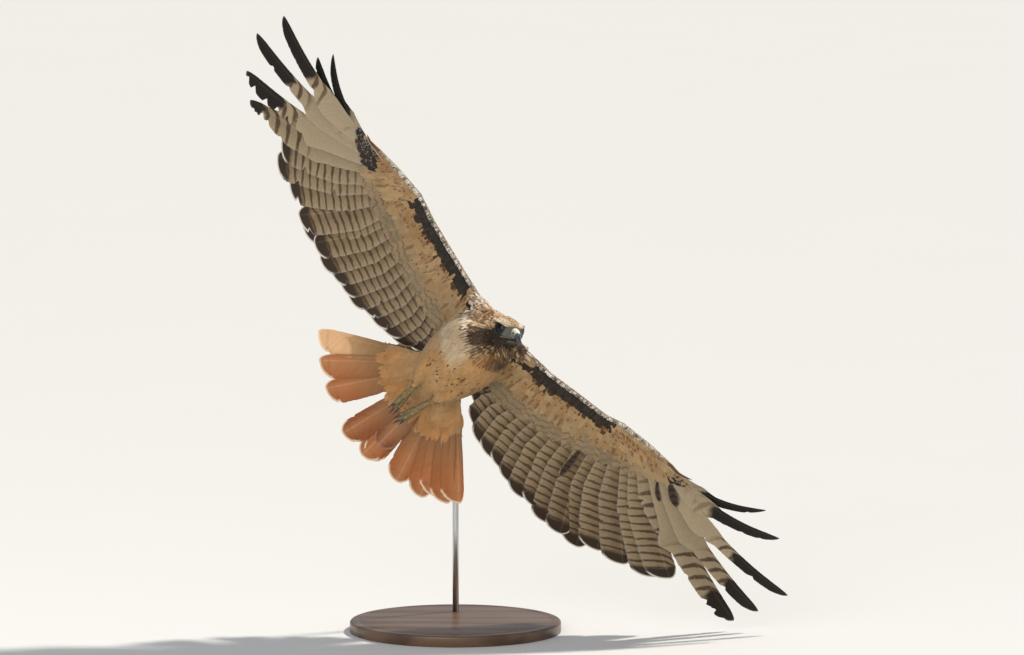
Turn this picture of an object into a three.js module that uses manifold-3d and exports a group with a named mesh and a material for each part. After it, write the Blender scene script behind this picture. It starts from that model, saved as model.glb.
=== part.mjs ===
// Red-tailed hawk banking in flight, life size, on a plain display stand. Millimetres, +Z up.
// The origin is the middle of the underside of the stand's base, which rests on the floor.
// The bird is shaped in a frame of its own: +X to the bill, +Y to the bird's left, +Z to its back.

import * as THREE from 'three';
import { mergeVertices } from 'three/addons/utils/BufferGeometryUtils.js';
import Module from 'manifold-3d';

const wasm = await Module();
wasm.setup();

// Gap that touching pieces keep, and how far a cutting shape is grown to leave it on a slope
const gap = 0.3;
const grown = 0.45;

// Pose of the bird on its stand
const birdPlace = [60, -100, 498];
const lean = -8;
const climb = -39.2;
const turn = -35;
const roll = -90;

// Stand
const baseRadius = 170;
const baseHeight = 18;
const baseBevel = 4;
const rodRadius = 5;
const rodBack = 92;
const rodBend = 40;
const rodHeight = 470;
const rodEnd = -52;
const rodSides = 12;

// Torso sections from the breast to the rump: place along the body, half width, top, bottom
const torsoSections = [
  [41, 12, -8, -36],
  [35, 27, 5, -56],
  [23, 43, 17, -75],
  [5, 55, 26, -90],
  [-25, 62, 30, -98],
  [-65, 61, 30, -92],
  [-105, 53, 26, -76],
  [-138, 42, 20, -55],
  [-165, 31, 12, -37],
  [-185, 21, 4, -24],
  [-196, 11, -3, -15],
];
const torsoSides = 24;

// Neck: centre and radius of each ring, from inside the breast to inside the skull
const neckRings = [
  [[-5, -2, -26], 45],
  [[19, -3, -25], 43],
  [[37, 1, -31], 35.5],
  [[52, 7, -38], 29],
];
const neckSides = 18;
const neckCut = { point: [24, 2, -30], normal: [0.97, 0.05, -0.24] };
const headCut = { point: [44, 4, -35], normal: [0.82, 0.29, -0.49] };

// Head: its own frame has its origin midway between the eyes
const headPlace = [67.3, 14.3, -50];
const headTurn = { roll: 62.7, nod: 38.4, yaw: 29.7 };
const skullSections = [
  [-46, 8, 6, -10],
  [-41, 18, 14, -19],
  [-30, 25, 18.5, -25],
  [-16, 26.5, 18, -26],
  [-3, 25, 16.5, -24],
  [6, 20.5, 14, -21.5],
  [12, 15.5, 11.5, -19.5],
  [17, 11, 8, -17.5],
  [21, 7.5, 4, -15],
];
const skullSides = 20;
const eyeRadius = 8.6;
const eyeDepth = 4.6;
const eyeSpread = 20.5;
const eyeTurn = 30;
const lidRadius = 1.5;
const browFront = [13, 15.5, 8.5];
const browBack = [-12, 25, 11];
const browRadius = 3.2;

// Bill: centre of each ring along the hook, half width and half height
const billRings = [
  [12, -4.5, 10, 10],
  [18, -4, 8.8, 9.4],
  [24, -4.8, 7.2, 8.2],
  [29, -7, 5.6, 6.8],
  [32.5, -10.8, 4, 5],
  [34, -15, 2.6, 3.4],
  [33.6, -18.6, 1.4, 1.9],
  [32.6, -21, 0.5, 0.6],
];
const cereFront = 22.5;
const jawRings = [
  [4, -17.5, 9, 4],
  [14, -16.4, 7.4, 3.6],
  [22, -15.2, 5.4, 3],
  [27, -14.4, 3.6, 2.2],
  [30, -13.8, 1.6, 1.1],
];
const billSides = 12;
const gapeCorner = [2, 15, -13];
const gapeWidth = 0.9;
const nostril = { place: [19.5, 7.6, -1.5], size: [2.1, 1.6, 1.3] };

// Wings. Leading edge, wing chord of the flesh, and half thickness, each as [distance out, value].
// Primaries run from the innermost to the outermost: tip forward of the shoulder line, tip out,
// height of the tip over the plane of the hand.
const wings = {
  right: {
    side: -1,
    wrist: 246,
    armRise: 10,
    handRise: 7,
    leading: [[25, 22], [60, 25], [110, 27], [200, 32], [246, 39], [300, 33], [345, 24], [362, 18]],
    trailing: [[44, -122], [85, -158], [130, -176], [160, -181], [225, -188], [325, -190]],
    primaries: [
      [-178, 345, -6], [-158, 395, -2], [-150, 440, 1], [-125, 457, 5], [-137, 537, 10],
      [-115, 577, 18], [-61, 613, 26], [-4, 607, 34], [0, 521, 40], [25, 509, 45],
    ],
  },
  left: {
    side: 1,
    wrist: 240,
    armRise: 12,
    handRise: 12,
    leading: [[25, 18], [60, 29], [110, 30], [165, 39], [216, 46], [245, 58], [300, 65], [345, 66], [362, 60]],
    trailing: [[44, -114], [91, -143], [123, -165], [200, -177], [297, -187], [352, -181]],
    primaries: [
      [-155, 378, -6], [-144, 421, 0], [-121, 468, 2], [-104, 486, 6], [-54, 453, 12],
      [-89, 603, 23], [-50, 616, 34], [6, 626, 44], [70, 546, 52], [88, 497, 58],
    ],
  },
};
const shoulder = 45;
const fleshChord = [[25, 116], [110, 96], [180, 84], [240, 72], [290, 46], [335, 24], [362, 9]];
const fleshHalf = [[25, 17], [80, 14], [110, 12.5], [180, 11], [240, 10.5], [290, 7.5], [335, 4.5], [362, 2.4]];
const fleshStations = [25, 60, 100, 140, 185, 225, 250, 290, 335, 362];
const fleshSteps = [0.012, 0.06, 0.18, 0.42, 0.72, 1];
const secondaryCount = 12;
const tertialCount = 3;
const handRootSpan = 95;
const primaryWidth = 41;
const fingerCount = 5;
const fingerBaseWidth = 38;
const secondaryWidth = 47;
const trailDroop = -12;
const tertialLift = 16;
const featherThick = 1.3;
const featherEdge = 0.6;
const featherRoll = 7;
const covertThick = 0.9;
const covertRoll = 5;

// Tail: hinge inside the rump, dip of the fan, and the angle and length of each tail feather,
// from the bird's right to its left
const tailHinge = [-95, 0, 5];
const tailDip = 7;
const tailFan = [
  [-49.1, 230], [-37.3, 234], [-25.6, 231], [-6.6, 243], [4.4, 238], [9.2, 199],
  [7.2, 236], [21.5, 233], [32.6, 243], [38, 233], [43.6, 238], [49, 234],
];
const tailWidth = 42;
const tailPadReach = [42, 126];
const tailPadHalf = 6.5;
const tailPadAngle = 53;

// Legs and feet, for the bird's left and right: where the shank leaves the flank and where
// the toes bunch, the claws' length and the toes' spread
const legs = {
  left: { side: 1, thigh: [-70, 30, -64], hock: [-128, 24, -60], toes: [-172, 17, -58] },
  right: { side: -1, thigh: [-70, -30, -64], hock: [-136, -15, -60], toes: [-166, -12, -57] },
};
const thighRadius = 19;
const hockRadius = 8;
const shankRadius = 4.6;
const toeNames = ['inner', 'middle', 'outer', 'hind'];
const toeLength = { inner: 30, middle: 38, outer: 31, hind: 22 };
const toeRadius = 4.1;
const clawLength = { inner: 19, middle: 17, outer: 15, hind: 21 };
const clawRadius = 2.5;
const clawHook = 0.32;

const bodyColours = {
  breast: 0xd8bd92,
  rump: 0xe0c9a2,
  neck: 0xa8754a,
  head: 0x9c6a43,
  wing: 0xb9a283,
  tail: 0xc0673c,
  cere: 0xd9c060,
  bill: 0x2e3136,
  eye: 0x1d120b,
  foot: 0xc9a032,
  claw: 0x1f1d1c,
  base: 0x6b4a32,
  rod: 0x9a9a98,
};

const radians = THREE.MathUtils.degToRad;
const lerp = THREE.MathUtils.lerp;

// A repeatable draw between -1 and 1
let seed = 1207;
function vary() {
  seed = (seed * 16807) % 2147483647;
  return (seed / 2147483647) * 2 - 1;
}

// Value of a list of [place, value] pairs at a place, straight between its pairs
function along(list, place) {
  if (place <= list[0][0]) return list[0][1];
  for (let i = 1; i < list.length; i++) {
    const [p0, v0] = list[i - 1];
    const [p1, v1] = list[i];
    if (place <= p1) return lerp(v0, v1, (place - p0) / (p1 - p0));
  }
  return list[list.length - 1][1];
}

// Solid from a closed triangle mesh, turned right side out
function toSolid(positions, triangles) {
  let volume = 0;
  const a = new THREE.Vector3();
  const b = new THREE.Vector3();
  const c = new THREE.Vector3();
  for (let i = 0; i < triangles.length; i += 3) {
    a.fromArray(positions, triangles[i] * 3);
    b.fromArray(positions, triangles[i + 1] * 3);
    c.fromArray(positions, triangles[i + 2] * 3);
    volume += a.dot(b.cross(c));
  }
  const faces = volume < 0 ? triangles.slice().reverse() : triangles;
  return new wasm.Manifold(new wasm.Mesh({
    numProp: 3,
    vertProperties: new Float32Array(positions),
    triVerts: new Uint32Array(faces),
  }));
}

function geometrySolid(geometry) {
  geometry.deleteAttribute('normal');
  geometry.deleteAttribute('uv');
  const merged = mergeVertices(geometry, 1e-4);
  return toSolid(Array.from(merged.attributes.position.array), Array.from(merged.index.array));
}

// Skin a stack of rings with the same number of points. Point j lies across from point n - 1 - j,
// and both faces of a thin ring are split along the same diagonal.
function ringSolid(rings) {
  const n = rings[0].length;
  const half = n / 2;
  const triangles = [];
  for (let i = 0; i < rings.length - 1; i++) {
    for (let j = 0; j < n; j++) {
      const k = (j + 1) % n;
      const a = i * n + j;
      const b = i * n + k;
      const c = a + n;
      const d = b + n;
      if (j < half) triangles.push(a, b, c, b, d, c);
      else triangles.push(a, b, d, a, d, c);
    }
  }
  const last = (rings.length - 1) * n;
  for (let j = 0; j < half - 1; j++) {
    const k = n - 1 - j;
    triangles.push(j, k, j + 1, j + 1, k, k - 1);
    triangles.push(last + j, last + j + 1, last + k, last + j + 1, last + k - 1, last + k);
  }
  return toSolid(rings.flat(2), triangles);
}

// Largest closed surface of a solid
function mainBody(solid) {
  const parts = solid.decompose();
  return parts.reduce((best, part) => (part.volume() > best.volume() ? part : best));
}

function unite(solids) {
  return wasm.Manifold.union(solids);
}

function move(solid, matrix) {
  return solid.transform(matrix.elements);
}

function mirrorSide(points, side) {
  return points.map(([x, y, z]) => [x, y * side, z]);
}

// Oval ring across the body axis, a little fuller below than above
function bodyRing([x, half, top, bottom], sides, extra) {
  const middle = (top + bottom) / 2;
  const ring = [];
  for (let j = 0; j < sides; j++) {
    const angle = (2 * Math.PI * (j + 0.5)) / sides;
    const full = Math.sin(angle) < 0 ? 0.9 : 1;
    const across = Math.sign(Math.cos(angle)) * Math.abs(Math.cos(angle)) ** full;
    ring.push([x, (half + extra) * across, middle + ((top - bottom) / 2 + extra) * Math.sin(angle)]);
  }
  return ring;
}

// Oval ring set square to a path: centre, direction, half width and half height
function pathRing(centre, direction, wide, high, sides) {
  const ahead = new THREE.Vector3(...direction).normalize();
  const sideways = new THREE.Vector3(-ahead.y, ahead.x, 0);
  if (sideways.length() < 1e-3) sideways.set(0, 1, 0);
  sideways.normalize();
  const up = new THREE.Vector3().crossVectors(ahead, sideways);
  const ring = [];
  for (let j = 0; j < sides; j++) {
    const angle = (2 * Math.PI * (j + 0.5)) / sides;
    const c = Math.cos(angle) * wide;
    const s = Math.sin(angle) * high;
    ring.push([
      centre[0] + sideways.x * c + up.x * s,
      centre[1] + sideways.y * c + up.y * s,
      centre[2] + sideways.z * c + up.z * s,
    ]);
  }
  return ring;
}

// Tapered round limb along a list of centres with a radius at each
function limb(centres, radii, sides) {
  return ringSolid(centres.map((centre, i) => {
    const before = centres[Math.max(i - 1, 0)];
    const after = centres[Math.min(i + 1, centres.length - 1)];
    const direction = after.map((v, k) => v - before[k]);
    return pathRing(centre, direction, radii[i], radii[i], sides);
  }));
}

function ellipsoid(radii, centre, turned, around) {
  const geometry = new THREE.SphereGeometry(1, around, around / 2 + 2);
  geometry.scale(...radii);
  geometry.rotateZ(radians(turned));
  geometry.translate(...centre);
  return geometrySolid(geometry);
}

// Half space kept behind or ahead of a cut, with half of the gap taken from each side
function behind(solid, cut) {
  const normal = new THREE.Vector3(...cut.normal).normalize();
  const offset = normal.dot(new THREE.Vector3(...cut.point)) - gap / 2;
  return solid.trimByPlane(normal.clone().negate().toArray(), -offset);
}

function ahead(solid, cut) {
  const normal = new THREE.Vector3(...cut.normal).normalize();
  const offset = normal.dot(new THREE.Vector3(...cut.point)) + gap / 2;
  return solid.trimByPlane(normal.toArray(), offset);
}

// Flesh of torso, neck and skull

function torsoFlesh(extra) {
  return ringSolid(torsoSections.map((section) => bodyRing(section, torsoSides, extra)));
}

function neckFlesh(extra) {
  return limb(neckRings.map(([centre]) => centre), neckRings.map(([, radius]) => radius + extra), neckSides);
}

const headFrame = new THREE.Matrix4().compose(
  new THREE.Vector3(...headPlace),
  new THREE.Quaternion().setFromEuler(
    new THREE.Euler(radians(headTurn.roll), radians(headTurn.nod), radians(headTurn.yaw), 'ZYX'),
  ),
  new THREE.Vector3(1, 1, 1),
);
const intoHead = headFrame.clone().invert();

function skullFlesh(extra) {
  return ringSolid(skullSections.map((section) => bodyRing(section, skullSides, extra)));
}

function eyeSolid(side, extra) {
  const centre = [0, side * eyeSpread, 0];
  return ellipsoid([eyeRadius + extra, eyeDepth + extra, eyeRadius + extra], centre, -side * eyeTurn, 14);
}

// Ring of the lids, lying round the eye
function lidSolid(side) {
  const geometry = new THREE.TorusGeometry(eyeRadius - 0.2, lidRadius, 5, 16);
  geometry.rotateX(Math.PI / 2);
  geometry.scale(1.04, 1, 0.97);
  geometry.rotateZ(radians(-side * eyeTurn));
  geometry.translate(0.9, side * (eyeSpread + 1.4), 0);
  return geometrySolid(geometry);
}

function browSolid(side) {
  const centres = [0, 0.25, 0.5, 0.75, 1].map((t) => browBack.map((v, k) => {
    const straight = lerp(v, browFront[k], t);
    return k === 1 ? side * (straight + 2.4 * Math.sin(Math.PI * t)) : straight + (k === 2 ? Math.sin(Math.PI * t) : 0);
  }));
  return limb(centres, [1.2, 2.8, browRadius, browRadius - 0.4, 1.6], 8);
}

function billSolid(extra) {
  return ringSolid(billRings.map(([x, z, wide, high], i) => {
    const before = billRings[Math.max(i - 1, 0)];
    const after = billRings[Math.min(i + 1, billRings.length - 1)];
    return pathRing([x, 0, z], [after[0] - before[0], 0, after[1] - before[1]], wide + extra, high + extra, billSides);
  }));
}

function jawSolid(extra) {
  return ringSolid(jawRings.map(([x, z, wide, high]) => pathRing([x, 0, z], [1, 0, 0.1], wide + extra, high + extra, billSides)));
}

// Slot of the mouth line on both sides, from the bill back to the corner of the gape
function gapeSlot() {
  const [back, wide, low] = gapeCorner;
  const stations = [[back, wide, low], [10, 14, -12.2], [18, 12, -11.6], [26, 9, -11.4]];
  return [1, -1].map((side) => ringSolid(stations.map(([x, y, z]) => [
    [x, side * (y - 4), z + gapeWidth / 2],
    [x, side * (y + 6), z + gapeWidth / 2],
    [x, side * (y + 6), z - gapeWidth / 2],
    [x, side * (y - 4), z - gapeWidth / 2],
  ])));
}

function nostrilSolid(side) {
  const [x, y, z] = nostril.place;
  return ellipsoid(nostril.size, [x, side * y, z], 0, 8);
}

// Feathers

// Smooth cubic step from 0 to 1
function ease(t) {
  const c = Math.min(Math.max(t, 0), 1);
  return c * c * (3 - 2 * c);
}

// Width along a feather, as a share of its greatest width
const vaneShapes = {
  flight: [[0, 0.16], [0.2, 0.5], [0.5, 1], [0.9, 0.84], [1, 0.28]],
  finger: [[0, 0.16], [0.18, 0.55], [0.42, 1], [0.56, 0.54], [0.85, 0.44], [1, 0.1]],
  covert: [[0, 0.6], [0.7, 1], [1, 0.4]],
};

// One feather. Its shaft runs straight in plan from root to tip, bowed to the rear by bow,
// the outer web is turned up by tilt, and height(x, y, t) gives the height of the shaft.
function vane({ root, tip, width, shape, outer, tilt, thick, edge, ridge, bow, height, side }) {
  const dx = tip[0] - root[0];
  const dy = tip[1] - root[1];
  const length = Math.hypot(dx, dy);
  const aheadX = dy / length;
  const aheadY = -dx / length;
  const slope = Math.tan(radians(tilt));
  const rings = vaneShapes[shape].map(([t, share]) => {
    const shift = -bow * 4 * t * (1 - t);
    const x = root[0] + dx * t + aheadX * shift;
    const y = root[1] + dy * t + aheadY * shift;
    const h = height(x, y, t);
    const front = width * share * outer;
    const rear = width * share * (1 - outer);
    const half = (t < 0.95 ? thick : edge) / 2;
    const at = (offset, up) => [x + aheadX * offset, (y + aheadY * offset) * side, h + offset * slope + up];
    const top = [at(front, edge / 2), at(0, half), at(-rear, edge / 2)];
    const low = [at(-rear, -edge / 2), at(0, -half), at(front, -edge / 2)];
    return ridge ? [...top, ...low] : [top[0], top[2], low[0], low[2]];
  });
  return ringSolid(rings);
}

function wingRise(wing, out) {
  const arm = Math.tan(radians(wing.armRise));
  const hand = Math.tan(radians(wing.handRise));
  if (out < shoulder) return 0;
  if (out < wing.wrist) return (out - shoulder) * arm;
  return (wing.wrist - shoulder) * arm + (out - wing.wrist) * hand;
}

// Thickness of the flesh across its chord, as a share of the most: round in front, thin behind
function fleshShare(across) {
  const crest = 0.18;
  if (across < crest) return Math.sqrt(1 - (1 - across / crest) ** 2);
  return 1 - 0.88 * ((across - crest) / (1 - crest)) ** 1.1;
}

function wingFlesh(wing) {
  return ringSolid(fleshStations.map((out) => {
    const front = along(wing.leading, out);
    const chord = along(fleshChord, out);
    const half = along(fleshHalf, out);
    const h = wingRise(wing, out);
    const top = fleshSteps.map((u) => [front - chord * u, out * wing.side, h + half * fleshShare(u)]);
    const low = fleshSteps.map((u) => [front - chord * u, out * wing.side, h - half * fleshShare(u)]);
    return [...top, ...low.reverse()];
  }));
}

// Roots and tips of the flight feathers, from the outermost primary to the last tertial
function flightPlan(wing) {
  const plan = [];
  const { wrist } = wing;
  for (let i = 9; i >= 0; i--) {
    const [tipX, tipY, lift] = wing.primaries[i];
    const out = wrist + 6 + (handRootSpan * i) / 9;
    const depth = lerp(22, 9, i / 9);
    plan.push({ root: [along(wing.leading, out) - depth, out], tip: [tipX, tipY], lift, kind: i >= 10 - fingerCount ? 'finger' : 'flight', rank: i });
  }
  const outermost = wing.trailing[wing.trailing.length - 1][0];
  for (let i = 0; i < secondaryCount + tertialCount; i++) {
    const t = i / (secondaryCount + tertialCount - 1);
    const rootY = lerp(wrist - 8, 66, t);
    const rootX = lerp(along(wing.leading, wrist) - 26, -42, Math.min(1, t * 1.15));
    const tipY = lerp(outermost, 49, t ** 0.92);
    const tipX = along(wing.trailing, tipY) + 2.5 * vary();
    const overTail = ease((t - 0.68) / 0.32);
    const lift = lerp(trailDroop * ease(t * 6), tertialLift, overTail);
    plan.push({ root: [rootX, rootY], tip: [tipX, tipY], lift, kind: 'flight', rank: -1 - i });
  }
  return plan;
}

function flightFeathers(wing, plan) {
  return plan.map(({ root, tip, lift, kind, rank }) => {
    const finger = kind === 'finger';
    const primary = rank >= 0;
    const width = finger ? fingerBaseWidth : primary ? primaryWidth : secondaryWidth;
    return vane({
      root,
      tip,
      width,
      shape: kind,
      outer: finger ? 0.24 : primary ? 0.3 : 0.36,
      tilt: featherRoll,
      thick: featherThick,
      edge: featherEdge,
      ridge: primary,
      bow: finger ? 7 : 4,
      height: (x, y, t) => wingRise(wing, y) + lift * t ** (lift > 0 && !primary ? 1.5 : 3),
      side: wing.side,
    });
  });
}

// Direction of the flight feathers rooted at a distance out along the wing
function lieAt(plan, out) {
  const list = plan.map(({ root, tip }) => [root[1], Math.atan2(tip[1] - root[1], root[0] - tip[0])]);
  return along(list.sort((a, b) => a[0] - b[0]), out);
}

// A row of coverts on the upper (face 1) or under (face -1) side of a wing
function covertRow(wing, plan, { face, count, inner, outer, depth, length, width, rise }) {
  const row = [];
  for (let i = 0; i < count; i++) {
    const t = i / (count - 1);
    const out = lerp(inner, outer, t);
    const chord = along(fleshChord, out);
    const front = along(wing.leading, out);
    const rootHeight = 0.55 * along(fleshHalf, out) * fleshShare(depth);
    const reach = along(length, out) * (1 + 0.04 * vary());
    const lie = lieAt(plan, out);
    const root = [front - chord * depth, out];
    const tip = [root[0] - reach * Math.cos(lie), out + reach * Math.sin(lie)];
    const stand = rise * along([[0, 1], [wing.wrist, 1], [345, 0.72]], out);
    row.push(vane({
      root,
      tip,
      width,
      shape: 'covert',
      outer: 0.42,
      tilt: covertRoll,
      thick: covertThick,
      edge: covertThick,
      ridge: false,
      bow: 0,
      height: (x, y, s) => wingRise(wing, y) + face * lerp(rootHeight, stand, ease(s * 1.6)),
      side: wing.side,
    }));
  }
  return row;
}

function wingSolid(wing, cutter) {
  const plan = flightPlan(wing);
  const pieces = [wingFlesh(wing), ...flightFeathers(wing, plan)];
  const greaterLength = [[60, 62], [200, 66], [wing.wrist + 20, 70], [345, 74]];
  const medianLength = [[60, 50], [200, 48], [wing.wrist, 44], [345, 34]];
  for (const face of [1, -1]) {
    pieces.push(...covertRow(wing, plan, {
      face, count: 14, inner: 66, outer: wing.wrist + 92, depth: 0.52, length: greaterLength, width: 30, rise: 6.3,
    }));
    pieces.push(...covertRow(wing, plan, {
      face, count: 11, inner: 60, outer: wing.wrist + 78, depth: 0.24, length: medianLength, width: 35, rise: 9.8,
    }));
  }
  return mainBody(unite(pieces).subtract(cutter));
}

// Tail

// Point of the tail's fan: angle off the midline, distance from the hinge, height off its plane
function tailPoint(angle, reach, up) {
  const x = tailHinge[0] - reach * Math.cos(radians(angle));
  const y = reach * Math.sin(radians(angle));
  return [x, y, tailHinge[2] - (tailHinge[0] - x) * Math.tan(radians(tailDip)) + up];
}

// Thin pad of the tail's base that the tail feathers grow from
function tailPad() {
  const steps = [0, 0.12, 0.4, 0.75, 1];
  const share = [0.5, 0.9, 1, 0.6, 0.16];
  const rings = [];
  for (let i = 0; i <= 10; i++) {
    const angle = lerp(-tailPadAngle, tailPadAngle, i / 10);
    const half = tailPadHalf * (1 - 0.45 * Math.abs(angle / tailPadAngle) ** 2);
    const at = (k, sign) => tailPoint(angle, lerp(...tailPadReach, steps[k]), sign * half * share[k]);
    const order = steps.map((_, k) => k);
    rings.push([...order.map((k) => at(k, 1)), ...order.reverse().map((k) => at(k, -1))]);
  }
  return ringSolid(rings);
}

function tailVane({ angle, from, to, width, shape, tilt, thick, edge, ridge, up, outer }) {
  const root = tailPoint(angle, from, 0);
  const tip = tailPoint(angle, to, 0);
  const plane = (x) => tailHinge[2] - (tailHinge[0] - x) * Math.tan(radians(tailDip));
  return vane({
    root: [root[0], root[1]],
    tip: [tip[0], tip[1]],
    width,
    shape,
    outer,
    tilt,
    thick,
    edge,
    ridge,
    bow: 0,
    height: (x, y, t) => plane(x) + up(t),
    side: 1,
  });
}

function tailSolid(cutter) {
  const pieces = [tailPad()];
  const middle = (tailFan.length - 1) / 2;
  tailFan.forEach(([angle, length], i) => {
    const fromMiddle = i - middle;
    const lift = 1.1 * (middle - Math.abs(fromMiddle));
    pieces.push(tailVane({
      angle,
      from: 52,
      to: length,
      width: tailWidth,
      shape: 'flight',
      tilt: Math.sign(fromMiddle) * 3.5,
      thick: featherThick,
      edge: featherEdge,
      ridge: true,
      up: (t) => lift * t - 3 * t * t,
      outer: 0.5 - 0.3 * (fromMiddle / middle),
    }));
  });
  for (const face of [1, -1]) {
    for (let i = 0; i < 7; i++) {
      const widest = face > 0 ? 30 : 44;
      const angle = lerp(-widest, widest, i / 6);
      const reach = 148 - 14 * Math.abs(angle / 44) + 3 * vary();
      pieces.push(tailVane({
        angle,
        from: 74,
        to: face > 0 ? reach : reach + 10,
        width: 34,
        shape: 'covert',
        tilt: 0,
        thick: covertThick,
        edge: covertThick,
        ridge: false,
        up: (t) => face * (2 + 6.5 * ease(t * 2) + 1.1 * (i % 2)),
        outer: 0.5,
      }));
    }
  }
  return mainBody(unite(pieces).subtract(cutter));
}

// Legs and feet

function thighSolid(leg, extra) {
  const [tx, ty, tz] = leg.thigh;
  const [hx, hy, hz] = leg.hock;
  const centres = [0, 0.35, 0.7, 1].map((t) => [lerp(tx, hx, t), lerp(ty, hy, t), lerp(tz, hz, t) - 3 * Math.sin(Math.PI * t)]);
  const radii = [thighRadius - 3, thighRadius, thighRadius * 0.72, hockRadius];
  return limb(centres, radii.map((radius) => radius + extra), 18);
}

// Centre line of a toe, from the ball of the foot to where its claw starts
function toeLine(leg, name) {
  const spread = { inner: -5.2, middle: 0, outer: 5.2, hind: 1.5 }[name] * leg.side;
  const drop = name === 'hind' ? -7.5 : 0;
  const [bx, by, bz] = leg.toes;
  const length = toeLength[name];
  return [0, 0.35, 0.7, 1].map((t) => [
    bx - length * t,
    by + spread * (0.5 + 0.5 * t) - 0.12 * length * t * leg.side,
    bz + drop * ease(t * 2) + 5 * t * (1 - t) + (name === 'hind' ? 0 : 0.12 * length * t),
  ]);
}

function toeEnd(leg, name) {
  const line = toeLine(leg, name);
  const [a, b] = line.slice(-2).map((p) => new THREE.Vector3(...p));
  return { place: b, direction: b.clone().sub(a).normalize() };
}

function footSolid(leg, cutter) {
  const [hx, hy, hz] = leg.hock;
  const [bx, by, bz] = leg.toes;
  const shank = limb(
    [[hx + 18, hy, hz], [lerp(hx, bx, 0.4), lerp(hy, by, 0.4), lerp(hz, bz, 0.4)], [bx - 3, by, bz]],
    [shankRadius + 0.8, shankRadius, shankRadius + 1.6],
    12,
  );
  const toes = toeNames.map((name) => limb(toeLine(leg, name), [toeRadius, toeRadius, toeRadius * 0.9, toeRadius * 0.8], 8));
  let foot = unite([shank, ...toes]);
  for (const name of toeNames) {
    foot = foot.subtract(clawSolid(leg, name, grown));
  }
  return mainBody(foot.subtract(cutter));
}

// Curved claw, hooked to the bird's belly side
function clawSolid(leg, name, extra) {
  const { place, direction } = toeEnd(leg, name);
  const length = clawLength[name];
  const down = new THREE.Vector3(0, 0, name === 'hind' ? 1 : -1);
  const centres = [-0.14, 0.1, 0.35, 0.6, 0.82, 1].map((t) => {
    const bend = clawHook * length * t * t;
    const p = place.clone().addScaledVector(direction, length * t * (1 - 0.18 * t)).addScaledVector(down, bend);
    return p.toArray();
  });
  const radii = [1, 1, 0.84, 0.6, 0.36, 0.12].map((share) => clawRadius * share + extra);
  return limb(centres, radii, 8);
}

// Stand

function rodSolid(extra) {
  const centres = [[0, rodBack, baseHeight + gap], [0, rodBack, rodHeight / 2]];
  for (let i = 0; i <= 8; i++) {
    const angle = (Math.PI / 2) * (i / 8);
    centres.push([0, rodBack - rodBend * (1 - Math.cos(angle)), rodHeight - rodBend + rodBend * Math.sin(angle)]);
  }
  centres.push([0, rodEnd - extra, rodHeight]);
  return ringSolid(centres.map(([x, y, z], i) => {
    const angle = i < 2 ? 0 : i > 10 ? Math.PI / 2 : (Math.PI / 2) * ((i - 2) / 8);
    const ring = [];
    for (let j = 0; j < rodSides; j++) {
      const around = (2 * Math.PI * (j + 0.5)) / rodSides;
      const out = (rodRadius + extra) * Math.sin(around);
      ring.push([x + (rodRadius + extra) * Math.cos(around), y + out * Math.cos(angle), z + out * Math.sin(angle)]);
    }
    return ring;
  }));
}

function baseGeometry() {
  const profile = [
    new THREE.Vector2(0, 0),
    new THREE.Vector2(baseRadius, 0),
    new THREE.Vector2(baseRadius, baseHeight - baseBevel),
    new THREE.Vector2(baseRadius - baseBevel, baseHeight),
    new THREE.Vector2(0, baseHeight),
  ];
  const geometry = new THREE.LatheGeometry(profile, 48);
  geometry.rotateX(Math.PI / 2);
  return geometry;
}

// Scene graph

function solidMesh(name, solid, colour, roughness = 0.8, metalness = 0) {
  const mesh = solid.getMesh();
  const geometry = new THREE.BufferGeometry();
  geometry.setAttribute('position', new THREE.BufferAttribute(new Float32Array(mesh.vertProperties), 3));
  geometry.setIndex(new THREE.BufferAttribute(new Uint32Array(mesh.triVerts), 1));
  geometry.computeVertexNormals();
  const result = new THREE.Mesh(geometry, new THREE.MeshStandardMaterial({ color: colour, roughness, metalness }));
  result.name = name;
  return result;
}

const group = new THREE.Group();
const leanGroup = new THREE.Group();
leanGroup.position.set(...birdPlace);
leanGroup.rotation.x = radians(lean);
const climbGroup = new THREE.Group();
climbGroup.rotation.y = radians(climb);
const turnGroup = new THREE.Group();
turnGroup.rotation.z = radians(turn);
const bird = new THREE.Group();
bird.rotation.x = radians(roll);
group.add(leanGroup);
leanGroup.add(climbGroup);
climbGroup.add(turnGroup);
turnGroup.add(bird);
group.updateMatrixWorld(true);
const intoBird = bird.matrixWorld.clone().invert();

const headGroup = new THREE.Group();
headGroup.position.set(...headPlace);
headGroup.rotation.set(radians(headTurn.roll), radians(headTurn.nod), radians(headTurn.yaw), 'ZYX');
bird.add(headGroup);

const flesh = (extra) => unite([torsoFlesh(extra), neckFlesh(extra), move(skullFlesh(extra), headFrame)]);
const whole = flesh(0);
const fleshCutter = flesh(grown);

const thighs = Object.fromEntries(Object.entries(legs).map(([name, leg]) => [name, thighSolid(leg, 0)]));

const socket = move(rodSolid(gap), intoBird);
const torso = mainBody(behind(whole, neckCut).subtract(socket));
bird.add(solidMesh('torso', torso, bodyColours.breast));

const neck = mainBody(behind(ahead(whole, neckCut), headCut));
bird.add(solidMesh('neck', neck, bodyColours.neck));

let head = move(ahead(ahead(whole, neckCut), headCut), intoHead);
head = unite([head, ...[1, -1].flatMap((side) => [lidSolid(side), browSolid(side)])]);
for (const cut of [billSolid(grown), jawSolid(grown), eyeSolid(1, gap), eyeSolid(-1, gap), ...gapeSlot()]) {
  head = head.subtract(cut);
}
headGroup.add(solidMesh('head', mainBody(head), bodyColours.head));

for (const [name, side] of [['left', 1], ['right', -1]]) {
  headGroup.add(solidMesh(`eye_${name}`, eyeSolid(side, 0), bodyColours.eye, 0.1));
}

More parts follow.
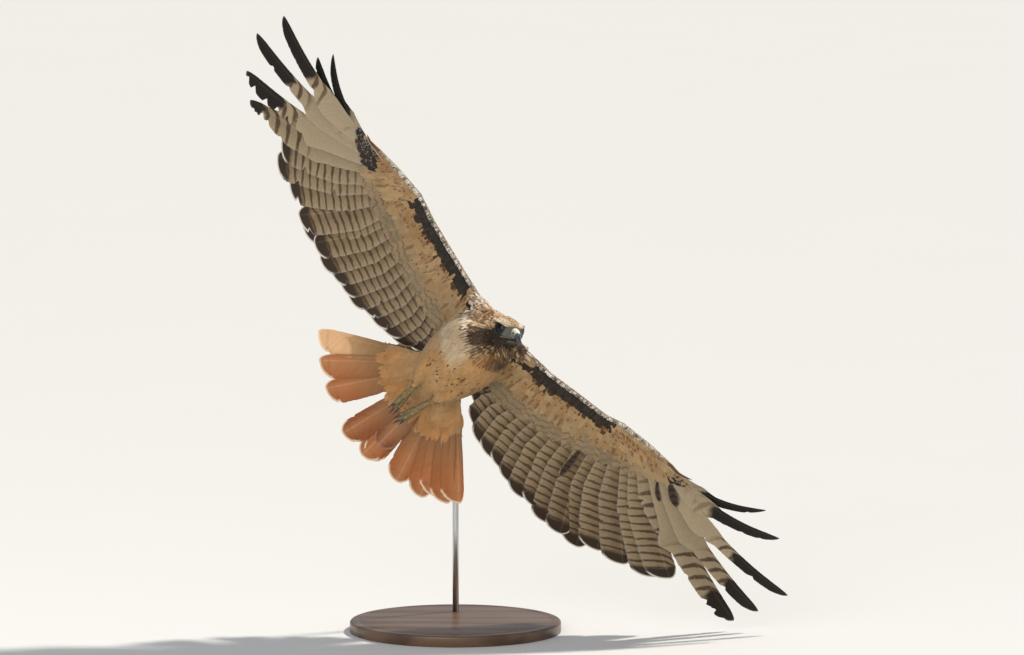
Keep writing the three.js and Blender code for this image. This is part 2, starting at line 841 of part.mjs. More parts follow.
const cereCut = { point: [cereFront, 0, -4], normal: [0.97, 0, -0.24] };
const jaw = mainBody(jawSolid(0).subtract(billSolid(grown)));
let cere = behind(billSolid(0), cereCut);
for (const side of [1, -1]) cere = cere.subtract(nostrilSolid(side));
headGroup.add(solidMesh('cere', mainBody(cere), bodyColours.cere, 0.5));
headGroup.add(solidMesh('upper_bill', mainBody(ahead(billSolid(0), cereCut)), bodyColours.bill, 0.3));
headGroup.add(solidMesh('lower_bill', jaw, bodyColours.bill, 0.3));

for (const [name, wing] of Object.entries(wings)) {
  bird.add(solidMesh(`wing_${name}`, wingSolid(wing, fleshCutter), bodyColours.wing));
}

bird.add(solidMesh('tail', tailSolid(torsoFlesh(grown)), bodyColours.tail));

for (const [name, leg] of Object.entries(legs)) {
  const thigh = mainBody(thighs[name].subtract(torsoFlesh(grown)));
  bird.add(solidMesh(`leg_${name}`, thigh, bodyColours.rump));
  const cutter = unite([torsoFlesh(grown), thighSolid(leg, grown)]);
  bird.add(solidMesh(`foot_${name}`, footSolid(leg, cutter), bodyColours.foot, 0.6));
  for (const toe of toeNames) {
    bird.add(solidMesh(`claw_${name}_${toe}`, clawSolid(leg, toe, 0), bodyColours.claw, 0.3));
  }
}

const base = new THREE.Mesh(
  baseGeometry(),
  new THREE.MeshStandardMaterial({ color: bodyColours.base, roughness: 0.5 }),
);
base.name = 'stand_base';
group.add(base);
group.add(solidMesh('stand_rod', rodSolid(0), bodyColours.rod, 0.35, 1));

export default group;
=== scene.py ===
from math import cos, pi, radians, sin, tan

import bpy
import numpy as np
from mathutils import Matrix, Vector
from mathutils.bvhtree import BVHTree

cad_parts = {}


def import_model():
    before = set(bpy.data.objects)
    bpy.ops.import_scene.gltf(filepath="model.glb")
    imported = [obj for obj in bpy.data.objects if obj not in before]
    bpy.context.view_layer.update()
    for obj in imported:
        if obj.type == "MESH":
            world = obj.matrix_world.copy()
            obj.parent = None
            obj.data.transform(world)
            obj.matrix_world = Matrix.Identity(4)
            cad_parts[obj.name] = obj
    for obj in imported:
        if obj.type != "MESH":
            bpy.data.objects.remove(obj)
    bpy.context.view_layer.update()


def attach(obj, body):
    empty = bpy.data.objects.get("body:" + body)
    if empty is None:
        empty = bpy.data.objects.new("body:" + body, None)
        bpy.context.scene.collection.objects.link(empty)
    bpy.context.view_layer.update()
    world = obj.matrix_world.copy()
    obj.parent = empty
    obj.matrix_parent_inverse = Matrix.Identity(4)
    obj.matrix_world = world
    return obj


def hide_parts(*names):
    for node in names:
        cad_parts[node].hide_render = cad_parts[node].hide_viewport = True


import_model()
rng = np.random.default_rng(1207)
print("frame loaded")

# Pose of the bird and of its head, in degrees and millimetres
pose = {
    "birdPlace": (60, -100, 498),
    "lean": -8,
    "climb": -39.2,
    "turn": -35,
    "roll": -90,
    "headPlace": (67.3, 14.3, -50),
    "headRoll": 62.7,
    "headNod": 38.4,
    "headYaw": 29.7,
}

# Camera and lights, in millimetres for the camera and metres for the lights
studio = {
    "target": (90.9, -101.4, 507.7),
    "elevation": 8,
    "distance": 30000,
    "viewWidth": 1638.4,
    "sensor": 36,
    "sky": (0.86, 0.92, 1.0),
    "skyStrength": 0.42,
    "sunFrom": (0.62, 0.34, 0.95),
    "sunPower": 3.3,
    "sunAngle": 5,
    "sunColour": (1.0, 0.95, 0.86),
    "fillPlace": (-1.6, -4.2, 1.9),
    "fillSize": 3.2,
    "fillPower": 92,
    "floor": (0.74, 0.73, 0.71),
    "floorRadius": 60,
}


def turned(axis, degrees):
    return np.array(Matrix.Rotation(radians(degrees), 3, axis))


birdTurn = (
    turned("X", pose["lean"])
    @ turned("Y", pose["climb"])
    @ turned("Z", pose["turn"])
    @ turned("X", pose["roll"])
)
headTurn = turned("Z", pose["headYaw"]) @ turned("Y", pose["headNod"]) @ turned("X", pose["headRoll"])


def toScene(points):  # bird frame in mm to the scene in metres
    return (np.asarray(points) @ birdTurn.T + pose["birdPlace"]) * 0.001


def fromHead(points):  # head frame, whose origin is midway between the eyes, to the bird frame
    return np.asarray(points) @ headTurn.T + pose["headPlace"]


def headToScene(points):
    return toScene(fromHead(points))


def intoHead(points):
    return (np.asarray(points) - pose["headPlace"]) @ headTurn


def ease(t):  # smooth cubic step from 0 to 1
    t = np.clip(t, 0, 1)
    return t * t * (3 - 2 * t)


def past(value, edge, width):  # 0 up to the edge, then rising to 1 over the width
    return ease((value - edge) / width)


def before(value, edge, width):  # 1 up to the width before the edge, then falling to 0 at the edge
    return ease((edge - value) / width)


def along(pairs, place):  # value of [place, value] pairs at a place
    places, values = np.transpose(pairs)
    return np.interp(place, places, values)


def unit(v):
    return v / np.maximum(np.linalg.norm(v, axis=-1, keepdims=True), 1e-9)


def curve(rows, count):  # Catmull-Rom curve through the rows, at even steps
    rows = np.asarray(rows, float)
    padded = np.vstack([2 * rows[0] - rows[1], rows, 2 * rows[-1] - rows[-2]])
    t = np.linspace(0, len(rows) - 1, count)
    i = np.minimum(t.astype(int), len(rows) - 2)
    f = (t - i)[:, None]
    a, b, c, d = padded[i], padded[i + 1], padded[i + 2], padded[i + 3]
    return 0.5 * (2 * b + (c - a) * f + (2 * a - 5 * b + 4 * c - d) * f**2 + (3 * b - a - 3 * c + d) * f**3)


# Shader values


class Wire:  # a socket's value: the operators add Math nodes
    def __init__(self, finish, socket):
        self.finish, self.socket = finish, socket

    def maths(self, operation, other=None, swap=False):
        pair = [self] if other is None else [other, self] if swap else [self, other]
        return self.finish.node("ShaderNodeMath", {"operation": operation}, dict(enumerate(pair)))

    def __add__(self, other):
        return self.maths("ADD", other)

    def __sub__(self, other):
        return self.maths("SUBTRACT", other)

    def __rsub__(self, other):
        return self.maths("SUBTRACT", other, True)

    def __mul__(self, other):
        return self.maths("MULTIPLY", other)

    def __truediv__(self, other):
        return self.maths("DIVIDE", other)

    def __pow__(self, other):
        return self.maths("POWER", other)

    __radd__, __rmul__ = __add__, __mul__

    def wave(self):
        return self.maths("SINE")

    def size(self):
        return self.maths("ABSOLUTE")

    def most(self, other):
        return self.maths("MAXIMUM", other)

    def step(self, low, high):  # smooth step from 0 at low to 1 at high, or the other way round
        settings = {"interpolation_type": "SMOOTHSTEP"}
        return self.finish.node("ShaderNodeMapRange", settings, {0: self, 1: low, 2: high, 3: 0.0, 4: 1.0})


class Finish:  # a material with its Principled shader
    def __init__(self, name, **constants):
        self.material = bpy.data.materials.new(name)
        self.material.use_nodes = True
        self.tree = self.material.node_tree
        self.shader = self.tree.nodes["Principled BSDF"]
        for socket, value in constants.items():
            self.shader.inputs[socket.replace("_", " ")].default_value = value

    def node(self, kind, settings=None, inputs=None, output=0):
        made = self.tree.nodes.new(kind)
        for key, value in (settings or {}).items():
            if key == "stops":
                ramp = made.color_ramp.elements
                while len(ramp) < len(value):
                    ramp.new(0.5)
                for element, (place, colour) in zip(ramp, value):
                    element.position, element.color = place, (*colour, 1)
            else:
                setattr(made, key, value)
        for key, value in (inputs or {}).items():
            if isinstance(value, Wire):
                self.tree.links.new(value.socket, made.inputs[key])
            else:
                made.inputs[key].default_value = value
        return Wire(self, made.outputs[output])

    def attribute(self, name, output="Color"):
        return self.node("ShaderNodeAttribute", {"attribute_name": name}, output=output)

    def split(self, wire):
        made = self.node("ShaderNodeSeparateXYZ", None, {0: wire})
        return [Wire(self, made.socket.node.outputs[k]) for k in range(3)]

    def join(self, x, y, z):
        return self.node("ShaderNodeCombineXYZ", None, {0: x, 1: y, 2: z})

    def uv(self, name):
        return self.node("ShaderNodeUVMap", {"uv_map": name})

    def place(self):
        return self.node("ShaderNodeTexCoord", output="Object")

    def mix(self, factor, low, high):  # colours
        colours = {6: low, 7: high}
        for key, value in colours.items():
            colours[key] = value if isinstance(value, Wire) else (*value, 1)
        return self.node("ShaderNodeMix", {"data_type": "RGBA"}, {0: factor, **colours}, 2)

    def shade(self, colour, factor):  # a colour times a grey value
        grey = self.join(factor, factor, factor)
        settings = {"data_type": "RGBA", "blend_type": "MULTIPLY"}
        return self.node("ShaderNodeMix", settings, {0: 1.0, 6: colour, 7: grey}, 2)

    def noise(self, vector, scale, detail=2.0, rough=0.5):
        sockets = {"Vector": vector, "Scale": scale, "Detail": detail, "Roughness": rough}
        return self.node("ShaderNodeTexNoise", None, sockets)

    def cells(self, vector, scale):
        return self.node("ShaderNodeTexVoronoi", None, {"Vector": vector, "Scale": scale})

    def bump(self, height, strength, distance):
        sockets = {"Height": height, "Strength": strength, "Distance": distance}
        self.feed("Normal", self.node("ShaderNodeBump", None, sockets))

    def feed(self, socket, wire):
        self.tree.links.new(wire.socket, self.shader.inputs[socket])


# Meshes from arrays


def outward(points, faceSets):  # turns every face round if the closed mesh is inside out
    volume = 0.0
    for faces in faceSets:
        a = points[faces[:, 0]]
        for k in range(1, faces.shape[1] - 1):
            volume += np.einsum("ij,ij->", a, np.cross(points[faces[:, k]], points[faces[:, k + 1]]))
    return faceSets if volume > 0 else [faces[:, ::-1] for faces in faceSets]


def makeMesh(name, points, faceSets):
    mesh = bpy.data.meshes.new(name)
    loops = np.concatenate([faces.ravel() for faces in faceSets]).astype(np.int32)
    totals = np.concatenate([np.full(len(faces), faces.shape[1]) for faces in faceSets])
    starts = (np.cumsum(totals) - totals).astype(np.int32)
    mesh.vertices.add(len(points))
    mesh.vertices.foreach_set("co", np.asarray(points, np.float32).ravel())
    mesh.loops.add(len(loops))
    mesh.loops.foreach_set("vertex_index", loops)
    mesh.polygons.add(len(totals))
    mesh.polygons.foreach_set("loop_start", starts)
    mesh.update(calc_edges=True)
    mesh.polygons.foreach_set("use_smooth", np.ones(len(totals), bool))
    return mesh, loops


def addUv(mesh, name, cornerUv):
    layer = mesh.uv_layers.new(name=name)
    layer.data.foreach_set("uv", np.asarray(cornerUv, np.float32).ravel())


def addValues(mesh, name, values):  # one, three or four values for each point
    kinds = {1: ("FLOAT", "value"), 3: ("FLOAT_VECTOR", "vector"), 4: ("FLOAT_COLOR", "color")}
    values = np.asarray(values, np.float32).reshape(len(mesh.vertices), -1)
    kind, field = kinds[values.shape[1]]
    mesh.attributes.new(name, kind, "POINT").data.foreach_set(field, values.ravel())


def addPiece(name, mesh, finish, replaced=()):
    piece = bpy.data.objects.new(name, mesh)
    bpy.context.scene.collection.objects.link(piece)
    mesh.materials.append(finish.material)
    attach(piece, "root")
    if replaced:
        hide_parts(*replaced)


def ringQuads(count, sides):  # quads between the rings of a stack
    i, j = np.meshgrid(np.arange(count - 1), np.arange(sides), indexing="ij")
    k = (j + 1) % sides
    corners = [i * sides + j, i * sides + k, (i + 1) * sides + k, (i + 1) * sides + j]
    return np.stack(corners, -1).reshape(-1, 4)


def tubeFaces(count, sides):  # quads round a stack of rings, and a fan on each end's middle point
    j = np.arange(sides)
    k = (j + 1) % sides
    last = (count - 1) * sides
    first = np.stack([np.full(sides, count * sides), k, j], -1)
    end = np.stack([np.full(sides, count * sides + 1), last + j, last + k], -1)
    return ringQuads(count, sides), np.vstack([first, end])


def tubeMesh(name, rings, place=toScene):
    # rings is an array (stations, sides, 3), and place puts its points into the scene
    count, sides = rings.shape[:2]
    points = place(np.vstack([rings.reshape(-1, 3), rings[0].mean(0), rings[-1].mean(0)]))
    faceSets = outward(points, tubeFaces(count, sides))
    mesh, loops = makeMesh(name, points, faceSets)
    v = np.append(np.repeat(np.arange(count) / (count - 1), sides), [0, 1])
    u = np.append(np.tile(np.arange(sides) / sides, count), [0.5, 0.5])
    corner = np.stack([u[loops], v[loops]], -1)
    # the quads come first, and those that cross the end of the turn run on past it
    quadCorner = corner[: faceSets[0].size].reshape(-1, 4, 2)
    wraps = quadCorner[:, :, 0].max(1) - quadCorner[:, :, 0].min(1) > 0.5
    quadCorner[:, :, 0] += (wraps[:, None] & (quadCorner[:, :, 0] < 0.5)) * 1.0
    addUv(mesh, "OFBake", corner * [0.5, 1])
    return mesh


def pathRings(centres, wide, high, sides, across=None):
    # ovals square to a path: centre + wide cos(angle) sideways + high sin(angle) up
    centres = np.asarray(centres, float)
    ahead = unit(np.gradient(centres, axis=0))
    if across is None:
        sideways = unit(np.stack([-ahead[:, 1], ahead[:, 0], np.zeros(len(ahead))], -1))
    else:
        sideways = unit(across - ahead * (ahead @ np.asarray(across, float))[:, None])
    up = np.cross(ahead, sideways)
    angle = 2 * pi * (np.arange(sides) + 0.5) / sides
    wide, high = np.broadcast_to(wide, len(centres)), np.broadcast_to(high, len(centres))
    return (
        centres[:, None]
        + sideways[:, None] * (wide[:, None] * np.cos(angle))[..., None]
        + up[:, None] * (high[:, None] * np.sin(angle))[..., None]
    )


# Feathers: a shaft line, webs to either side, and a thin closed shell round both


def ringPlan(across):  # place across the vane and face of each point of a feather's ring
    q = np.asarray(across, float)
    count = len(q)
    places = np.concatenate([q, q[-2:0:-1]])
    face = np.concatenate([np.ones(count), -np.ones(count - 2)])
    face[[0, count - 1]] = 0
    mirror = np.concatenate([np.arange(count)[::-1], count + np.arange(count - 2)[::-1]])
    return places, face, mirror


def featherFaces(feathers, steps, width):  # quads round the ring of each feather, with both ends capped
    ring = 2 * (width - 1)
    quads = ringQuads(steps, ring)[:, [0, 3, 2, 1]]
    j = np.arange(1, width - 2)
    capQuads = np.stack([j, j + 1, ring - j - 1, ring - j], -1)
    capTris = np.array([[0, 1, ring - 1], [width - 2, width - 1, width]])
    last = (steps - 1) * ring
    quads = np.vstack([quads, capQuads, capQuads[:, ::-1] + last])
    tris = np.vstack([capTris, capTris[:, ::-1] + last])
    shift = (np.arange(feathers) * steps * ring)[:, None, None]
    return [(quads + shift).reshape(-1, 4), (tris + shift).reshape(-1, 3)]


def featherShell(centre, side, up, front, rear, camber, thick, ridge, across):
    # point(s, q) = centre(s) + side * reach(s, q) - up * camber * q^2, thickened by up * thick * (1 - q^2);
    # arrays are (feathers, stations, ...), and q runs from -1 at the rear edge to 1 at the front edge
    q, face, mirror = ringPlan(across)
    reach = np.where(q > 0, front[..., None], rear[..., None]) * q
    shaft = np.exp(-((q / 0.07) ** 2))
    half = face * (thick[..., None] * (1 - 0.75 * q**2) + ridge[..., None] * shaft) / 2
    rise = half - camber[..., None] * q**2
    points = centre[:, :, None] + side[:, :, None] * reach[..., None] + up[:, :, None] * rise[..., None]
    flow = np.gradient(centre, axis=1)
    wrong = np.einsum("nij,nij->n", np.cross(flow, side), up) < 0
    points[wrong] = points[wrong][:, :, mirror]
    return points, wrong


def featherPiece(name, shell, across, looks, finish, patch, replaced=()):
    # looks: colours, marks and sizes of each feather; patch: its place and size in the bake's map
    points, wrong = shell
    feathers, steps, ring = points.shape[:3]
    q, face, mirror = ringPlan(across)
    faceSets = featherFaces(feathers, steps, len(across))
    mesh, loops = makeMesh(name, toScene(points.reshape(-1, 3)), faceSets)
    stations = looks.get("stations", np.linspace(0, 1, steps))
    s = np.broadcast_to(stations[None, :, None], points.shape[:3])
    cross = np.broadcast_to(q, points.shape[:3]).copy()
    upper = np.broadcast_to(face * 0.5 + 0.5, points.shape[:3]).copy()
    cross[wrong] = cross[wrong][:, :, mirror]
    upper[wrong] = upper[wrong][:, :, mirror]
    vane = np.stack([s, cross * 0.5 + 0.5], -1)
    addUv(mesh, "vane", vane.reshape(-1, 2)[loops])
    start, size = patch
    addUv(mesh, "OFBake", (start[:, None, None] + vane * size).reshape(-1, 2)[loops])
    # the outline is a sharp edge, so that light turns at it and not over the whole vane
    ends = np.zeros(len(mesh.edges) * 2, int)
    mesh.edges.foreach_get("vertices", ends)
    ends = ends.reshape(-1, 2)
    place, station = ends % ring, ends // ring % steps
    rim = (place[:, 0] == place[:, 1]) & np.isin(place[:, 0], (0, len(across) - 1))
    rim |= (station[:, 0] == station[:, 1]) & np.isin(station[:, 0], (0, steps - 1))
    mesh.attributes.new("sharp_edge", "BOOLEAN", "EDGE").data.foreach_set("value", rim)
    each = steps * ring
    for key in ("ground", "ink", "marks"):
        colour = np.ones((feathers, 4))
        colour[:, : looks[key].shape[1]] = looks[key]
        addValues(mesh, key, np.repeat(colour, each, 0))
    addValues(mesh, "sizes", np.repeat(looks["sizes"], each, 0))
    addValues(mesh, "upper", upper)
    mesh.uv_layers["OFBake"].active_render = True
    addPiece(name, mesh, finish, replaced)


# Flesh: rings close to those of the solids, held in by the coat's depth

torsoSections = [
    (41, 12, -8, -36),
    (35, 27, 5, -56),
    (23, 43, 17, -75),
    (5, 55, 26, -90),
    (-25, 62, 30, -98),
    (-65, 61, 30, -92),
    (-105, 53, 26, -76),
    (-138, 42, 20, -55),
    (-165, 31, 12, -37),
    (-185, 21, 4, -24),
    (-196, 11, -3, -15),
]
neckRings = [
    ((-5, -2, -26), 45),
    ((15, -3, -26), 42.5),
    ((29, 2.5, -32), 32),
    ((40, 8, -38), 25),
    ((48, 12, -43), 17),
]
skullSections = [
    (-46, 8, 6, -10),
    (-41, 18, 14, -19),
    (-30, 25, 18.5, -25),
    (-16, 26.5, 18, -26),
    (-3, 25, 16.5, -24),
    (6, 20.5, 14, -21.5),
    (11.5, 15, 11, -19),
    (15.5, 10.5, 7, -17),
    (18, 6.5, 2, -14),
]
eye = {"radius": 8.8, "depth": 3.8, "ahead": -1, "spread": 19.2, "turn": 26, "lid": 1.4, "socket": 4}
leftBrowDrop = (0, 1.5, 3.5)
browLine = [(-16, 22, 10.6), (-7, 24, 10.4), (1, 22, 9.8), (8.5, 15.6, 8.2), (14, 8.5, 5.4)]
browRadii = [(0, 1), (0.3, 3.1), (0.6, 3.4), (0.85, 3), (1, 1.4)]
shoulderRows = {
    "right": [(38.6, -24.6, -33.5, 12), (30, -43, -20, 12), (22.4, -61, -9.8, 9), (15.8, -79.4, 3.1, 5)],
    "left": [(31.9, 36.9, -18.7, 11), (27.9, 50.1, -13.5, 11), (25.6, 63.9, -5.7, 8), (25.4, 82, -0.9, 5)],
}
coatDepth = {"torso": 3.6, "neck": 3.4, "head": 1.3, "wing": 1.6, "thigh": 3}
remeshSize = 0.0021

wings = {
    "right": {
        "side": -1,
        "wrist": 246,
        "armRise": 10,
        "handRise": 7,
        "leading": [(25, 22), (60, 25), (110, 27), (200, 32), (246, 39), (300, 33), (345, 24), (362, 18)],
        "trailing": [(44, -122), (85, -158), (130, -176), (160, -181), (225, -188), (325, -190)],
        "primaries": [
            (-178, 345, -6), (-158, 395, -2), (-150, 440, 1), (-125, 457, 5), (-137, 537, 10),
            (-115, 577, 18), (-61, 613, 26), (-4, 607, 34), (0, 521, 40), (25, 509, 45),
        ],
        "frayed": {4: (0.86, 0.95, 0.35), 5: (0.6, 0.98, 0.8)},
        "pointed": [4],
        "wide": {5: 1.5, 6: 1.15, 7: 1.1, 9: 0.72},
        "black": [(3, 0), (4, 0.13), (5, 0.3), (6, 0.34), (7, 0.4), (8, 0.52), (9, 0.6)],
        "barred": [(4, 0.9), (5, 0.3), (6, 0.34), (7, 0.3), (8, 0.2), (9, 0.2)],
        "blotch": (330, 50, 1.1),
        "alula": (66, 6),
        "displaced": [],
    },
    "left": {
        "side": 1,
        "wrist": 240,
        "armRise": 12,
        "handRise": 12,
        "leading": [
            (25, 18), (60, 29), (110, 30), (165, 39), (216, 46), (245, 58), (300, 65), (345, 66), (362, 60),
        ],
        "trailing": [(44, -114), (91, -143), (123, -165), (200, -177), (297, -187), (352, -181)],
        "primaries": [
            (-155, 378, -6), (-144, 421, 0), (-121, 468, 2), (-104, 486, 6), (-32, 455, 12),
            (-89, 603, 23), (-50, 616, 34), (6, 626, 44), (70, 546, 52), (88, 497, 58),
        ],
        "frayed": {5: (0.84, 0.98, 0.22)},
        "pointed": [],
        "wide": {5: 1.8, 6: 1.3, 9: 0.72},
        "black": [(3.9, 0), (4, 0.2), (5, 0.2), (6, 0.24), (7, 0.36), (8, 0.52), (9, 0.6)],
        "barred": [(4, 0.9), (5, 0.9), (6, 0.55), (7, 0.3), (8, 0.2), (9, 0.2)],
        "blotch": (366, 50, 0.45),
        "alula": (76, 15),
        "displaced": [(234, 98, 62, 11, 0.18), (366, 22, 42, 16, 1.0), (350, 40, 34, 9, 0.95)],
    },
}
shoulder = 45
fleshChord = [(25, 116), (110, 96), (180, 84), (240, 72), (290, 46), (335, 24), (362, 9)]
fleshHalf = [(25, 17), (80, 14), (110, 12.5), (180, 11), (240, 10.5), (290, 7.5), (335, 4.5), (362, 2.4)]
fleshCrest = 0.18
tailHinge = np.array([-95, 0, 5])
tailDip = 7
tailFan = [
    (-49.1, 238), (-37.3, 237), (-25.6, 236), (-6.6, 243), (4.4, 241), (6.4, 204),
    (7.2, 236), (21.5, 238), (32.6, 243), (38, 233), (43.6, 240), (49, 236),
]
tailPad = {"reach": (42, 126), "half": 6.5, "angle": 53}
legs = {
    "left": {"side": 1, "thigh": (-70, 30, -64), "hock": (-128, 24, -60), "toes": (-172, 17, -58)},
    "right": {"side": -1, "thigh": (-70, -30, -64), "hock": (-136, -15, -60), "toes": (-166, -12, -57)},
}
thighRadius = 19
hockRadius = 8
thighRadii = [(0, 16), (0.35, thighRadius), (0.7, 13.7), (1, hockRadius)]
wingEnds = (25, 362)


def bodyRings(sections, sides, extra):  # oval across the body axis, a little fuller below than above
    x, half, top, bottom = np.transpose(sections)
    angle = 2 * pi * (np.arange(sides) + 0.5) / sides
    c, s = np.cos(angle), np.sin(angle)
    across = np.sign(c) * np.abs(c) ** np.where(s < 0, 0.9, 1)
    y = np.maximum(half + extra, 1)[:, None] * across
    z = ((top + bottom) / 2)[:, None] + np.maximum((top - bottom) / 2 + extra, 1)[:, None] * s
    return np.stack([np.broadcast_to(x[:, None], y.shape), y, z], -1)


def wingRise(wing, out):
    reach = wing["wrist"] - shoulder
    arm, hand = tan(radians(wing["armRise"])), tan(radians(wing["handRise"]))
    return np.clip(out - shoulder, 0, reach) * arm + np.maximum(out - wing["wrist"], 0) * hand


def fleshShare(across):  # thickness across the chord: round in front, thin behind
    nose = np.sqrt(np.clip(1 - (1 - across / fleshCrest) ** 2, 0, 1))
    tail = 1 - 0.88 * np.clip((across - fleshCrest) / (1 - fleshCrest), 0, 1) ** 1.1
    return np.where(across < fleshCrest, nose, tail)


def wingFlesh(wing, shrink):
    out = np.linspace(*wingEnds, 40)
    steps = np.array([0.008, 0.04, 0.1, 0.2, 0.4, 0.6, 0.8, 0.98])
    u = np.concatenate([steps, steps[::-1]])
    face = np.repeat([1, -1], len(steps))
    front, chord = along(wing["leading"], out), along(fleshChord, out)
    half = np.maximum(along(fleshHalf, out) - shrink, 0.9)
    x = (front - shrink)[:, None] - (chord - 2 * shrink)[:, None] * u
    z = wingRise(wing, out)[:, None] + half[:, None] * fleshShare(u) * face
    return np.stack([x, np.broadcast_to(out[:, None] * wing["side"], x.shape), z], -1)


def tailPlane(x):  # height of the tail's plane, which slopes down behind the hinge
    return tailHinge[2] - (tailHinge[0] - x) * tan(radians(tailDip))


def tailPoint(angle, reach, up):  # angle off the midline, reach from the hinge, height off the plane
    angle = np.radians(angle)
    x = tailHinge[0] - reach * np.cos(angle)
    return np.stack([x, reach * np.sin(angle), tailPlane(x) + up], -1)


def tailPadFlesh():
    angle = np.linspace(-tailPad["angle"], tailPad["angle"], 20)
    steps = np.array([0, 0.12, 0.4, 0.75, 1])
    share = np.array([0.5, 0.9, 1, 0.6, 0.16])
    half = (tailPad["half"] - 1) * (1 - 0.45 * (angle / tailPad["angle"]) ** 2)
    near, far = tailPad["reach"]
    reach = near + (far - near) * np.concatenate([steps, steps[::-1]])
    up = half[:, None] * np.concatenate([share, -share[::-1]])
    return tailPoint(np.broadcast_to(angle[:, None], up.shape), np.broadcast_to(reach, up.shape), up)


def thighRings(leg, extra):
    start, end = np.array(leg["thigh"], float), np.array(leg["hock"], float)
    t = np.linspace(0, 1, 10)[:, None]
    centres = start + (end - start) * t - [0, 0, 3] * np.sin(pi * t)
    radii = along(thighRadii, t[:, 0]) + extra
    return pathRings(centres, radii, radii, 20)


def browRings(side):
    line = (curve(browLine, 14) - np.array(leftBrowDrop) * (side > 0)) * [1, side, 1]
    radii = along(browRadii, np.linspace(0, 1, 14))
    return pathRings(line, radii, radii, 12)


def shoulderRings(rows):
    rows = curve(rows, 14)
    return pathRings(rows[:, :3], rows[:, 3], rows[:, 3], 20)


def skinPoints(skin):  # vertices of the skin, in the bird frame
    points = np.zeros(len(skin.vertices) * 3)
    skin.vertices.foreach_get("co", points)
    return (points.reshape(-1, 3) * 1000 - pose["birdPlace"]) @ birdTurn


def makeSkin():
    neckLine = curve([centre for centre, radius in neckRings], 16)
    neckRadii = curve([(radius,) for centre, radius in neckRings], 16)[:, 0] - coatDepth["neck"]
    lofts = [
        bodyRings(curve(torsoSections, 40), 40, -coatDepth["torso"]),
        pathRings(neckLine, neckRadii, neckRadii, 32),
        fromHead(bodyRings(curve(skullSections, 40), 36, -coatDepth["head"])),
        tailPadFlesh(),
        *[wingFlesh(wing, coatDepth["wing"]) for wing in wings.values()],
        *[thighRings(leg, -coatDepth["thigh"]) for leg in legs.values()],
        *[fromHead(browRings(side)) for side in (1, -1)],
        *[shoulderRings(rows) for rows in shoulderRows.values()],
    ]
    points, quads, tris, start = [], [], [], 0
    for rings in lofts:
        count, sides = rings.shape[:2]
        own = np.vstack([rings.reshape(-1, 3), rings[0].mean(0), rings[-1].mean(0)])
        faceSets = outward(own, tubeFaces(count, sides))
        points.append(own)
        quads.append(faceSets[0] + start)
        tris.append(faceSets[1] + start)
        start += len(own)
    mesh, _ = makeMesh("skinLofts", toScene(np.vstack(points)), [np.vstack(quads), np.vstack(tris)])
    lump = bpy.data.objects.new("skinLofts", mesh)
    bpy.context.scene.collection.objects.link(lump)
    remesh = lump.modifiers.new("remesh", "REMESH")
    remesh.mode, remesh.voxel_size = "VOXEL", remeshSize
    relax = lump.modifiers.new("relax", "SMOOTH")
    relax.factor, relax.iterations = 0.6, 6
    evaluated = lump.evaluated_get(bpy.context.evaluated_depsgraph_get())
    skin = bpy.data.meshes.new_from_object(evaluated)
    bpy.data.objects.remove(lump)
    skin.name = "skin"
    # the eye sockets are pressed in, so that each eye stands free of the skin
    points = skinPoints(skin)
    head = intoHead(points)
    for side in (1, -1):
        away = np.hypot(head[:, 0] - eye["ahead"], head[:, 2]) / (eye["radius"] + 1)
        inside = (1 - past(away, 0.8, 0.3)) * (head[:, 1] * side > 8)
        head[:, 1] -= side * eye["socket"] * inside
    near = np.linalg.norm(points - pose["headPlace"], axis=1) < 60
    points[near] = fromHead(head)[near]
    skin.vertices.foreach_set("co", toScene(points).astype(np.float32).ravel())
    skin.update()
    while skin.uv_layers:
        skin.uv_layers.remove(skin.uv_layers[0])
    skin.polygons.foreach_set("use_smooth", np.ones(len(skin.polygons), bool))
    return skin


# Parts of the skin, and its unwrap: each part is laid in a strip of its own in the bake's map

headStart = np.array([44, 4, -35])
headNormal = unit(np.array([0.82, 0.29, -0.49]))
torsoPart, neckPart, headPart, thighPart, padPart, wingTop, wingUnder, backPart = range(8)
partEdges = {
    "neckFrom": 26,
    "padFrom": -150,
    "padDepth": 8,
    "padAside": 12,
    "thighFrom": -92,
    "thighTop": -44,
    "wingOut": 60,
    "wingBehind": -110,
    "wingAbove": -35,
}


def partOf(points, normals):
    x, y, z = points.T
    part = np.zeros(len(points), int)
    part[x > partEdges["neckFrom"]] = neckPart
    part[(points - headStart) @ headNormal > 0] = headPart
    flat = (np.abs(z - tailPlane(x)) < partEdges["padDepth"]) & (np.abs(y) > partEdges["padAside"])
    part[(x < partEdges["padFrom"]) & flat] = padPart
    for leg in legs.values():
        start, end = np.array(leg["thigh"], float), np.array(leg["hock"], float)
        t = np.clip((points - start) @ (end - start) / ((end - start) @ (end - start)), 0, 1)
        near = np.linalg.norm(points - start - t[:, None] * (end - start), axis=1)
        below = (x < partEdges["thighFrom"]) & (z < partEdges["thighTop"])
        part[(near < thighRadius + 2) & below] = thighPart
    wingish = (np.abs(y) > partEdges["wingOut"]) & (x > partEdges["wingBehind"])
    wingish &= (part != headPart) & (z > partEdges["wingAbove"])
    part[wingish] = np.where(normals[wingish, 2] > 0, wingTop, wingUnder)
    return part


